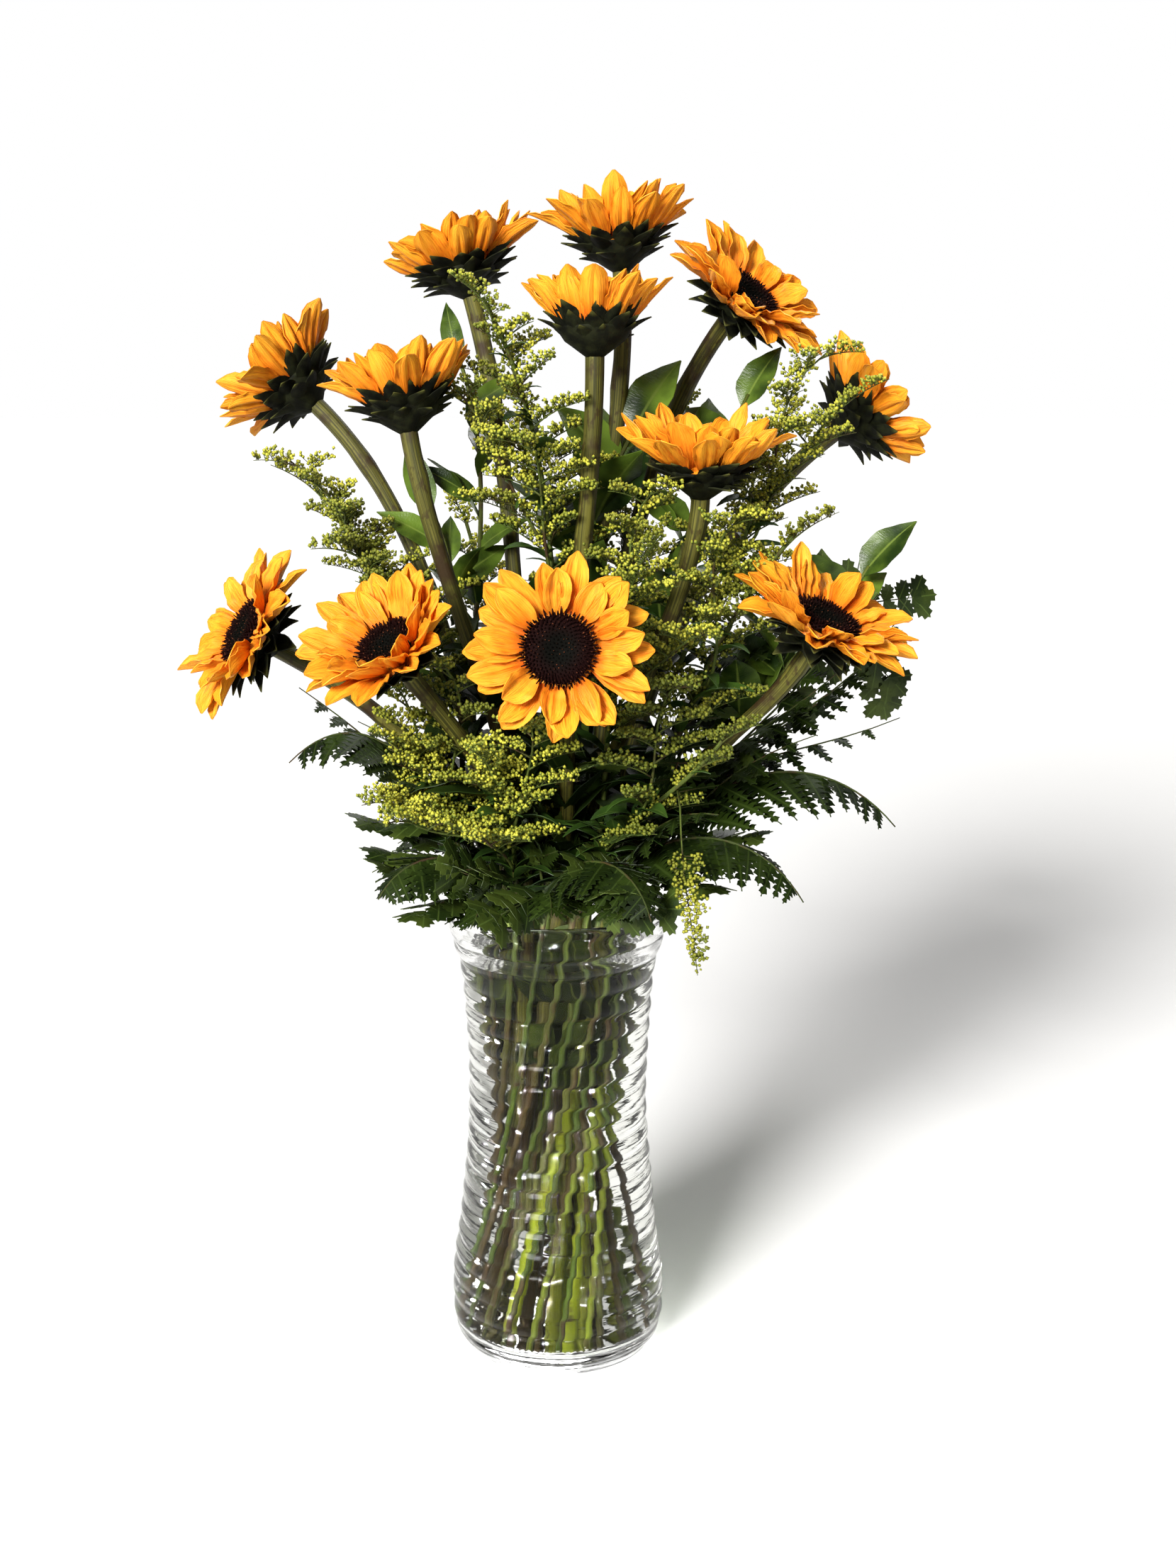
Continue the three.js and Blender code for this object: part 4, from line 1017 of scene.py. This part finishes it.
narrow_skin = leaf_finish(
    "goldenrod_leaf", (0.008, 0.021, 0.003), (0.034, 0.074, 0.009), (0.07, 0.11, 0.02),
    roughness=0.45, gloss=0.2,
)
goldenrod_stem_skin = stem_finish(
    "goldenrod_stem_skin", (0.04, 0.060, 0.009), (0.11, 0.14, 0.022), (0.045, 0.026, 0.010),
    (0.050, 0.034, 0.010),
)
bud_skin = bud_finish("goldenrod_buds", (0.28, 0.285, 0.022), (0.60, 0.56, 0.055))
shaded_bud_skin = bud_finish("shaded_buds", (0.12, 0.13, 0.010), (0.30, 0.29, 0.026))
goldenrod_courses = []
for index, spray in enumerate(GOLDENROD):
    tip = Vector(spray["tip"])
    outward = azimuth_of(tip)
    way = heading(outward, 50)
    course = Course(spray["ring"], spray["slot"], tip, way, rise=0.4, reach=0.35, steps=6)
    goldenrod_courses.append(course)
    name = f"goldenrod_{index + 1}"
    buds = Growth()
    stalks = Growth(index)
    leaves = Growth()
    stem(stalks, course, 30, GOLDENROD_TAPER, GOLDENROD_STEM, 8, index + 40)
    start = spray["from"]
    count = len(spray["sides"])
    step = (TOP_SHARE - start) / count
    sites = []
    for number, azimuth in enumerate(spray["sides"]):
        length = spray["plume"] * (1.1 - 0.5 * number / count)
        sites.append((start + step * number, azimuth, PLUME_RISE, length))
        for extra in range(1, EXTRA_PLUMES[index] + 1):
            turn = azimuth + 137 * extra + 40 * frac_draw(index + 1200, number * 2 + extra)
            sites.append((start + step * (number + extra / 3), turn, 48, length * (0.78 - 0.1 * extra)))
    for number, (share, azimuth, rise, length) in enumerate(sites):
        plume(buds, stalks, course.spot(share, azimuth, rise), length, 1000 + index * 200 + number * 7)
        place = course.spot(share - 0.01, azimuth, 20)
        blade(
            leaves, SCALE_GRID, place, SCALE_LENGTH, SCALE_WIDTH, NARROW_OUTLINE, lift=10, curl=-40, fold=0.3
        )
    place = growth_frame(course.above(TOP_SHARE), course.way(TOP_SHARE), heading(outward + 180, 60))
    plume(buds, stalks, place, spray["plume"] * 0.8, 1190 + index * 200)
    if index == HANGING_PLUME["spray"]:
        place = course.spot(HANGING_PLUME["share"], HANGING_PLUME["azimuth"], HANGING_PLUME["rise"])
        plume(buds, stalks, place, HANGING_PLUME["length"], 1199, droop=0.75, first=0.5)
    for side_number, (spray_number, start_share, side_tip) in enumerate(SIDE_SPRAYS):
        if spray_number != index:
            continue
        root = course.above(start_share)
        end = Vector(side_tip)
        lean = azimuth_of(end)
        leaving = (course.way(start_share) + heading(lean, 20)).normalized()
        shoot = Shoot(root, leaving, end, heading(lean, 35))
        twig(stalks, shoot.on_bend, steps=10, thick=1.1, thinning=0.6, sides=5)
        for number in range(SIDE_PLUMES):
            share = 0.4 + 0.085 * number
            turn = lean + 120 * (1 if number % 2 else -1) * (0.5 + 0.4 * frac_draw(side_number + 340, number))
            kind = 4000 + side_number * 90 + number * 7
            plume(buds, stalks, shoot.spot(share, turn, 35), 40 - 3 * number, kind)
        plume(buds, stalks, shoot.spot(0.96, lean, 25), 24, 4080 + side_number * 90)
    for number in range(LOW_LEAVES):
        share = 0.03 + (start + 0.25) * number / LOW_LEAVES
        azimuth = number * LEAF_TURN + 60 * frac_draw(index + 120, number)
        length = 46 * (0.7 + 0.5 * frac_draw(index + 140, number)) * (1 - 0.35 * number / LOW_LEAVES)
        curl = -75 + 30 * frac_draw(index + 150, number)
        blade(
            leaves, NARROW_GRID, course.spot(share, azimuth, 8), length, NARROW_WIDTH, NARROW_OUTLINE,
            lift=34, curl=curl, cup=0.2, fold=0.25,
            roll=stray(60, index + 160, number), sway=stray(0.3, index + 180, number),
        )
    # Painted shade: the spray with the hanging plume gets the darker copy of the bud skin.
    skin = shaded_bud_skin if index == HANGING_PLUME["spray"] else bud_skin
    buds.piece(f"{name}_buds", skin, [name], "goldenrod")
    stalks.piece(f"{name}_stalks", goldenrod_stem_skin, [name], "goldenrod")
    leaves.piece(f"{name}_leaves", narrow_skin, [name], "goldenrod", thickness=0.35)


# Leafy greens: slim stems with glossy pointed leaves set one by one, each folded a little
# at its midrib and curved down to the tip. The upper leaves turn their faces to the light.
LEAFY = [
    {"tip": (178, -8, 480), "leaf": 44, "width": 22, "from": 0.5, "sides": [200, 30, 175, 350, 340, 10, 150],
     "rise": 42, "more": 0.9, "ring": OUTER_RING, "slot": 0},
    {"tip": (46, 15, 560), "leaf": 52, "width": 30, "from": 0.5, "sides": [100, 300, 190, 350, 185],
     "rise": 58, "more": 1.1, "ring": MIDDLE_RING, "slot": 90},
    {"tip": (112, 45, 575), "leaf": 44, "width": 21, "from": 0.6, "sides": [30, 200, 340, 140],
     "rise": 40, "more": 1.0, "ring": OUTER_RING, "slot": 40},
    {"tip": (-76, 15, 515), "leaf": 44, "width": 17, "from": 0.45, "sides": [200, 330, 265, 20, 190],
     "rise": 35, "more": 0.7, "ring": OUTER_RING, "slot": 160},
    {"tip": (-60, 48, 600), "leaf": 42, "width": 13, "from": 0.5, "sides": [150, 310, 200, 90, 10],
     "rise": 35, "more": 0.8, "ring": OUTER_RING, "slot": 140},
]
LEAFY_STEM = 1.8
LEAFY_TAPER = [1, 1, 0.97, 0.95, 0.85, 0.8, 0.7, 0.6]
LOWER_LEAVES = 9
LEAF_TOP_SHARE = 0.97
LEAF_GRID = grid(4, 11)
LEAF_OUTLINE = ([0, 0.08, 0.22, 0.4, 0.6, 0.8, 0.93, 1], [0.12, 0.45, 0.9, 1, 0.86, 0.48, 0.16, 0.03])

leaf_skin = leaf_finish(
    "broad_leaf", (0.009, 0.022, 0.003), (0.095, 0.155, 0.016), (0.13, 0.18, 0.03),
    roughness=0.33, gloss=0.3,
)
leafy_stem_skin = stem_finish(
    "leafy_stem_skin", (0.040, 0.055, 0.008), (0.11, 0.13, 0.018), (0.045, 0.030, 0.010),
    (0.13, 0.16, 0.007),
)
leafy_courses = []
for index, branch in enumerate(LEAFY):
    tip = Vector(branch["tip"])
    outward = azimuth_of(tip)
    way = heading(outward, 60)
    course = Course(branch["ring"], branch["slot"], tip, way, rise=0.4, reach=0.3, steps=5)
    leafy_courses.append(course)
    stalk = Growth(index)
    stem(stalk, course, 28, LEAFY_TAPER, LEAFY_STEM, 8, index + 60)
    leaves = Growth()
    start = branch["from"]
    count = len(branch["sides"])
    sites = []
    for number, azimuth in enumerate(branch["sides"]):
        sites.append((start + (LEAF_TOP_SHARE - start) * number / count, azimuth, branch["rise"], 0))
    for number in range(LOWER_LEAVES):
        share = 0.16 + (0.90 - 0.16) * number / LOWER_LEAVES
        sites.append((share, 70 + number * LEAF_TURN, 64, 24 * (1 if number % 2 else -1)))
    for number, (share, azimuth, rise, roll) in enumerate(sites):
        size = 1 if roll == 0 else branch["more"] * (1.05 + 0.35 * frac_draw(index + 210, number))
        upper = UP if roll else UP * 0.7 + heading(240 + 60 * frac_draw(index + 220, number), 0)
        blade(
            leaves, LEAF_GRID, course.spot(share, azimuth, rise, upper), branch["leaf"] * size,
            branch["width"] * size, LEAF_OUTLINE, lift=0, curl=-30, cup=0.1, fold=0.16,
            roll=roll + stray(14, index + 200, number), frill=0.8, phase=number * 2.2,
        )
    place = growth_frame(course.above(LEAF_TOP_SHARE), course.way(LEAF_TOP_SHARE), heading(250, 45))
    blade(
        leaves, LEAF_GRID, place, branch["leaf"], branch["width"], LEAF_OUTLINE,
        lift=0, curl=-30, cup=0.1, fold=0.16, frill=0.8,
    )
    node = [f"leafy_stem_{index + 1}"]
    stalk.piece(f"leafy_{index + 1}_stalk", leafy_stem_skin, node, "leaf")
    leaves.piece(f"leafy_{index + 1}_leaves", leaf_skin, node, "leaf", thickness=0.5)


# Sunk leaves: leaves that were left on the cut stems hang under the water in the upper half
# of the vase, soft, and dark partly as painted shade. They grow on the leafy stems and the goldenrod.
SUNK_LEAVES = 60
SMALL_LEAF_WIDTH = 17
sunk_grid = grid(2, 7)
sunk_leaves = Growth()
sunk_courses = leafy_courses + goldenrod_courses
for number in range(SUNK_LEAVES):
    course = sunk_courses[number % len(sunk_courses)]
    height = 0.66 + 0.33 * frac_draw(300, number)
    root = course.foot.lerp(course.rim, height)
    outward = azimuth_of(root)
    aside = outward + 70 * (1 if number % 2 else -1)
    place = growth_frame(root, heading(aside, -50 - 20 * frac_draw(302, number)), heading(outward + 180, 10))
    blade(
        sunk_leaves, sunk_grid, place, 30 + 14 * frac_draw(301, number), SMALL_LEAF_WIDTH, LEAF_OUTLINE,
        lift=20, curl=30, cup=0.15, fold=0.1, frill=0.8, phase=number * 1.7,
    )
# Near-black: partly painted shade in the vase's upper half.
sunk_skin = leaf_finish(
    "sunk_leaf", (0.004, 0.006, 0.001), (0.024, 0.033, 0.004), (0.05, 0.06, 0.01),
    roughness=0.5, gloss=0.1,
)
sunk_leaves.piece("sunk_leaves", sunk_skin, [], "leaf", thickness=0.5)


# Fern: dark leathery fronds that arch over the rim all round. Each has side blades cut to
# their own ribs into small toothed leaflets, and ends in a point.
FERNS = [
    {"tip": (-155, -22, 368), "fall": 45, "width": 96, "slot": 180},
    {"tip": (-100, -78, 302), "fall": 55, "width": 88, "slot": 220},
    {"tip": (50, -122, 302), "fall": 55, "width": 82, "slot": 260},
    {"tip": (136, -84, 302), "fall": 55, "width": 88, "slot": 300},
    {"tip": (196, -22, 330), "fall": 50, "width": 96, "slot": 340},
    {"tip": (203, 22, 450), "fall": 10, "width": 88, "slot": 20},
    {"tip": (-20, 150, 345), "fall": 50, "width": 96, "slot": 100},
]
FERN_STEM = 1.6
FERN_TAPER = [1, 1, 1, 0.95, 0.85, 0.75, 0.6, 0.4, 0.25]
PINNA_PAIRS = 14
LOBE = ((0.72, 0.22, 0.22, 0.5), (1, 0.80, 0.30, 1), (0.60, 0.95, 0.12, 0.5))


def pinna(leaflets, place, length, kind):
    """One side blade of a frond, cut nearly to its rib into forward lobes, shorter to the tip."""
    lobes = max(int(length / 4.6), 4)
    broad = 2.2 + 0.20 * length
    points = []
    for number in range(lobes + 1):
        share = number / lobes
        sink = -0.10 * share**2 * length
        points.append((0, share * length, sink + 0.35))
        for side in (-1, 1):
            lobe = broad * (1 - 0.82 * share) * (0.85 + 0.3 * frac_draw(kind + side, number))
            inner = broad * 0.22 * (1 - share) + 0.25
            wave = 0.9 * (frac_draw(kind + side * 7, number) - 0.6)
            points.append((side * inner, (share + 0.02) * length, sink))
            for out, step, forward, lifted in LOBE:
                along = (share + step / lobes) * length + lobe * forward
                points.append((side * lobe * out, along, sink + wave * lifted))
    faces = []
    for number in range(lobes):
        here = number * 9
        for first in (1, 5):
            low = here + first
            face = (here, low, low + 1, low + 2, low + 3, low + 9, here + 9)
            faces.append(face if first == 5 else face[::-1])
    last = lobes * 9
    faces.append((last, last + 5, last + 7, last + 3, last + 1))
    points = np.array(points)
    points[last + 3] = (-0.3, length * 1.10, -0.11 * length)
    points[last + 7] = (0.3, length * 1.10, -0.11 * length)
    grain = np.stack([points[:, 0] / broad / 2 + 0.5, np.clip(points[:, 1] / length, 0, 1)], axis=1)
    leaflets.add(points, faces, grain, place)


def frond(stalks, leaflets, course, first, last, width, pairs, kind):
    """A frond's blade on the stretch of its stem between two shares, widest at its base."""
    for number in range(pairs):
        reach = (number + 0.3) / pairs
        share = first + (last - first) * reach
        here = course.above(share)
        way = course.way(share)
        across = way.cross(UP).normalized()
        upper = across.cross(way)
        full = width / 2 * (1 - 0.8 * reach**1.5)
        for side in (-1, 1):
            draw = kind + number * 2 + side
            droop = 12 + 14 * frac_draw(draw, 3)
            out = (across * side + way * (0.42 + 0.12 * frac_draw(draw, 4))).normalized()
            out = (out - upper * math.tan(math.radians(droop))).normalized()
            length = full * 1.05 * (0.92 + 0.14 * frac_draw(draw, 5))
            place = growth_frame(here, out, upper)
            rib = [place @ Vector((0, length * s, -0.10 * s * s * length)) for s in (0, 0.5, 1)]
            stalks.add(*tube(rib, [0.55, 0.4, 0.2], 3))
            pinna(leaflets, place, length, draw)


fern_skin = leaf_finish(
    "fern_leaf", (0.004, 0.009, 0.001), (0.017, 0.031, 0.003), (0.03, 0.05, 0.008),
    roughness=0.5, gloss=0.15,
)
fern_stem_skin = stem_finish(
    "fern_stem_skin", (0.022, 0.034, 0.007), (0.06, 0.080, 0.014), (0.045, 0.026, 0.010),
    (0.055, 0.085, 0.008),
)
fern_courses = []
for index, fern in enumerate(FERNS):
    tip = Vector(fern["tip"])
    outward = azimuth_of(tip)
    way = heading(outward, -fern["fall"])
    course = Course(OUTER_RING, fern["slot"], tip, way, rise=0.5, reach=0.5, steps=10)
    fern_courses.append(course)
    stalks = Growth(index)
    leaflets = Growth()
    stem(stalks, course, 28, FERN_TAPER, FERN_STEM, 6, index + 80)
    frond(stalks, leaflets, course, 0.27, 0.97, fern["width"], PINNA_PAIRS, 2000 + index * 40)
    name = f"fern_{index + 1}"
    stalks.piece(f"{name}_ribs", fern_stem_skin, [name], "fern")
    leaflets.piece(f"{name}_leaflets", fern_skin, [name], "fern", thickness=0.4)


# Fern shoots: young fronds of the same fern, which start low on the fronds' stems and close
# the gaps between them. Each has its stem's number, how far it reaches out from the vase's
# axis, how far its tip drops, and its azimuth.
SHOOTS = [
    (0, 112, 20, 196), (0, 120, -60, 172), (1, 92, 40, 238), (1, 108, -40, 212), (2, 104, 26, 268),
    (2, 88, -50, 252), (3, 112, 30, 288), (3, 130, -30, 312), (4, 150, -60, 350), (4, 128, 10, 326),
    (5, 168, -100, 356), (5, 120, -20, 40), (5, 176, -165, 2), (0, 150, -85, 184), (6, 110, 10, 75),
    (6, 110, -20, 130), (6, 120, 30, 105), (5, 120, 20, 55), (0, 115, 25, 150), (4, 120, -90, 318),
    (5, 204, -62, 5), (5, 200, -105, 10), (5, 206, -140, 2),
]
SHOOT_TIPS = 325
SHOOT_WIDTH = 60
SHOOT_PAIRS = 8

shoot_stalks = Growth()
shoot_leaflets = Growth()
for number, (fern_number, reach, drop, azimuth) in enumerate(SHOOTS):
    root = fern_courses[fern_number].above(0.02 + 0.05 * frac_draw(310, number))
    end = heading(azimuth, 0) * reach + Vector((0, 0, SHOOT_TIPS - drop))
    course = Shoot(root, heading(azimuth, 62), end, heading(azimuth, -15 - 0.6 * drop))
    twig(shoot_stalks, course.on_bend, steps=12, thick=1.1, thinning=0.8, sides=5)
    frond(shoot_stalks, shoot_leaflets, course, 0.25, 0.95, SHOOT_WIDTH, SHOOT_PAIRS, 3000 + number * 30)
shoot_stalks.piece("shoot_ribs", fern_stem_skin, [], "fern")
shoot_leaflets.piece("shoot_leaflets", fern_skin, [], "fern", thickness=0.4)


# Toothed leaves: compound leaves with nine toothed leaflets each, on thin ribs. They fill the
# rim of the bunch all round, and seven more spread from the fern at its right-hand side, each
# at a share of that fern's stem, an azimuth and a rise.
SIDE_TOOTHED = [
    (0.60, 355, -38), (0.70, 0, -62), (0.74, 5, 28), (0.84, 350, -42), (0.88, 10, 8), (0.92, 0, -72),
    (0.66, 0, -20),
]
SIDE_FERN = 5
TOOTHED_LEAVES = 26
RIM_LEAFLET = 21
SIDE_LEAFLET = 16
LEAFLET_PAIRS = 4
TOOTHED_HALF = [
    (-0.06, 0), (-0.42, 0.20), (-0.33, 0.26), (-0.56, 0.42), (-0.40, 0.48), (-0.54, 0.66), (-0.31, 0.70),
    (-0.34, 0.88), (-0.10, 0.90),
]
RIB_HEIGHT = 0.8


def leaflet_form(half):
    """A flat toothed leaflet of unit length and width, a little raised in the middle."""
    rim = half + [(0, 1)] + [(-x, y) for x, y in reversed(half)]
    points = [(x, y, 0) for x, y in rim] + [(0, 0.5, RIB_HEIGHT)]
    faces = [((index + 1) % len(rim), index, len(rim)) for index in range(len(rim))]
    return np.array(points), faces


def toothed_spine(share, length):
    """A place along a toothed leaf's drooping rib."""
    return Vector((0, share * length, -0.28 * share * share * length))


TOOTHED, TOOTHED_FACES = leaflet_form(TOOTHED_HALF)
TOOTHED_GRAIN = np.stack([TOOTHED[:, 0] + 0.5, TOOTHED[:, 1]], axis=1)
toothed_skin = leaf_finish(
    "toothed_leaf", (0.012, 0.024, 0.003), (0.050, 0.074, 0.010), (0.07, 0.11, 0.02),
    roughness=0.5, gloss=0.2,
)
toothed_courses = goldenrod_courses + fern_courses
toothed_places = []
for number in range(TOOTHED_LEAVES):
    course = toothed_courses[number % len(toothed_courses)]
    root = course.above(0.03 + 0.16 * frac_draw(320, number))
    azimuth = azimuth_of(root) + stray(70, 321, number)
    upper = UP
    if number % 3 == 0:
        azimuth = 240 + 70 * frac_draw(321, number)
        upper = UP * 0.5 + heading(270, 0)
    toothed_places.append(growth_frame(root, heading(azimuth, 10 + 32 * frac_draw(322, number)), upper))
for share, azimuth, rise in SIDE_TOOTHED:
    toothed_places.append(fern_courses[SIDE_FERN].spot(share, azimuth, rise, heading(270, 15)))
toothed_stalks = Growth()
toothed_leaves = Growth()
for number, place in enumerate(toothed_places):
    length = 44 + 22 * frac_draw(323, number)
    leaflet = RIM_LEAFLET if number < TOOTHED_LEAVES else SIDE_LEAFLET
    twig(
        toothed_stalks, lambda share: place @ toothed_spine(share, length),
        steps=4, thick=0.7, thinning=0.4, sides=4,
    )
    for pair in range(LEAFLET_PAIRS):
        share = 0.35 + 0.2 * pair
        for side in (-1, 0, 1) if pair == LEAFLET_PAIRS - 1 else (-1, 1):
            spot = Matrix.Translation(toothed_spine(share, length))
            spin = Matrix.Rotation(math.radians(-side * 52), 4, "Z")
            tilt = Matrix.Rotation(math.radians(-12 - 16 * frac_draw(324 + pair, number)), 4, "X")
            size = leaflet * (0.85 + 0.25 * frac_draw(328 + pair, number))
            scale = Matrix.Diagonal((size * 0.62, size, 1, 1))
            toothed_leaves.add(TOOTHED, TOOTHED_FACES, TOOTHED_GRAIN, place @ spot @ spin @ tilt @ scale)
toothed_stalks.piece("toothed_stalks", fern_stem_skin, [], "fern")
toothed_leaves.piece("toothed_leaves", toothed_skin, [], "fern", thickness=0.45)


# Heart leaves: the sunflowers' own small leaves, thin and dark, low on their stems. They
# stand all round and fill the middle of the bunch, and their near-black is partly painted shade.
HEART_LEAVES = 132
heart_grid = grid(2, 6)
heart_leaves = Growth()
for number in range(HEART_LEAVES):
    course = flower_courses[number % len(flower_courses)]
    share = 0.02 + 0.42 * frac_draw(330, number)
    rise = 15 + 50 * frac_draw(334, number)
    blade(
        heart_leaves, heart_grid, course.spot(share, number * LEAF_TURN, rise),
        38 + 18 * frac_draw(331, number), SMALL_LEAF_WIDTH, LEAF_OUTLINE,
        lift=0, curl=-50 * frac_draw(332, number), cup=0.2, fold=0.15,
        roll=stray(50, 333, number), frill=0.8, phase=number * 1.3,
    )
# Near-black: partly painted shade in the middle of the bunch.
heart_skin = leaf_finish(
    "heart_leaf", (0.003, 0.008, 0.001), (0.017, 0.034, 0.004), (0.03, 0.05, 0.008),
    roughness=0.5, gloss=0.15,
)
heart_leaves.piece("heart_leaves", heart_skin, [], "leaf", thickness=0.45)


# Water: clear, and fills the vase to its level. It wets the glass and rises a little at its
# edge. Its holes lie just inside the stems' skins, so no air shows round them.
WATER_LEVEL = 250
WATER_STEPS = 96
WETTING = 0.15
HOLE_SHARE = 0.85


def water_profile():
    edge = float(vase_radius(WATER_LEVEL)) - WALL + WETTING
    low = WATER_LEVEL - 0.8
    top = [(0, low), (edge - 8, low), (edge - 2.5, WATER_LEVEL - 0.4), (edge, WATER_LEVEL)]
    heights = np.arange(WATER_LEVEL - 3, FLOOR + 10, -6)
    wall = [(float(vase_radius(z)) - WALL + WETTING, z) for z in heights]
    return top + wall + inner_corner(0.1)


water = revolve("water", water_profile(), WATER_STEPS)
cores = Growth()
for courses, radius in (
    (flower_courses, STEM_RADIUS), (goldenrod_courses, GOLDENROD_STEM),
    (leafy_courses, LEAFY_STEM), (fern_courses, FERN_STEM),
):
    for course in courses:
        below = course.foot - (course.rim - course.foot).normalized() * 3
        cores.add(*tube([below, course.foot, course.rim], [radius * HOLE_SHARE] * 3, 8))
core = new_object("stem_cores", np.vstack(cores.points), [], cores.faces)
select_only(water)
holes = water.modifiers.new("holes", "BOOLEAN")
holes.operation = "DIFFERENCE"
holes.solver = "MANIFOLD"
holes.object = core
bpy.ops.object.modifier_apply(modifier=holes.name)
bpy.data.objects.remove(core)
bpy.ops.object.shade_smooth_by_angle(angle=math.radians(40))
water_skin = clear_finish(
    "water", ior=1.33, tint=(0.985, 0.985, 0.94), shine=(0.1, 0.1, 0.1),
    shade=(0.66, 0.68, 0.62), ripples=1, strength=0.05,
)
finish_piece(water, "water_fill", water_skin, ["water"])

# The glint lamps light the glass and the water alone
glassware = bpy.data.collections.new("glassware")
for piece in (vase, water):
    glassware.objects.link(piece)
for lamp in lamps:
    lamp.light_linking.receiver_collection = glassware
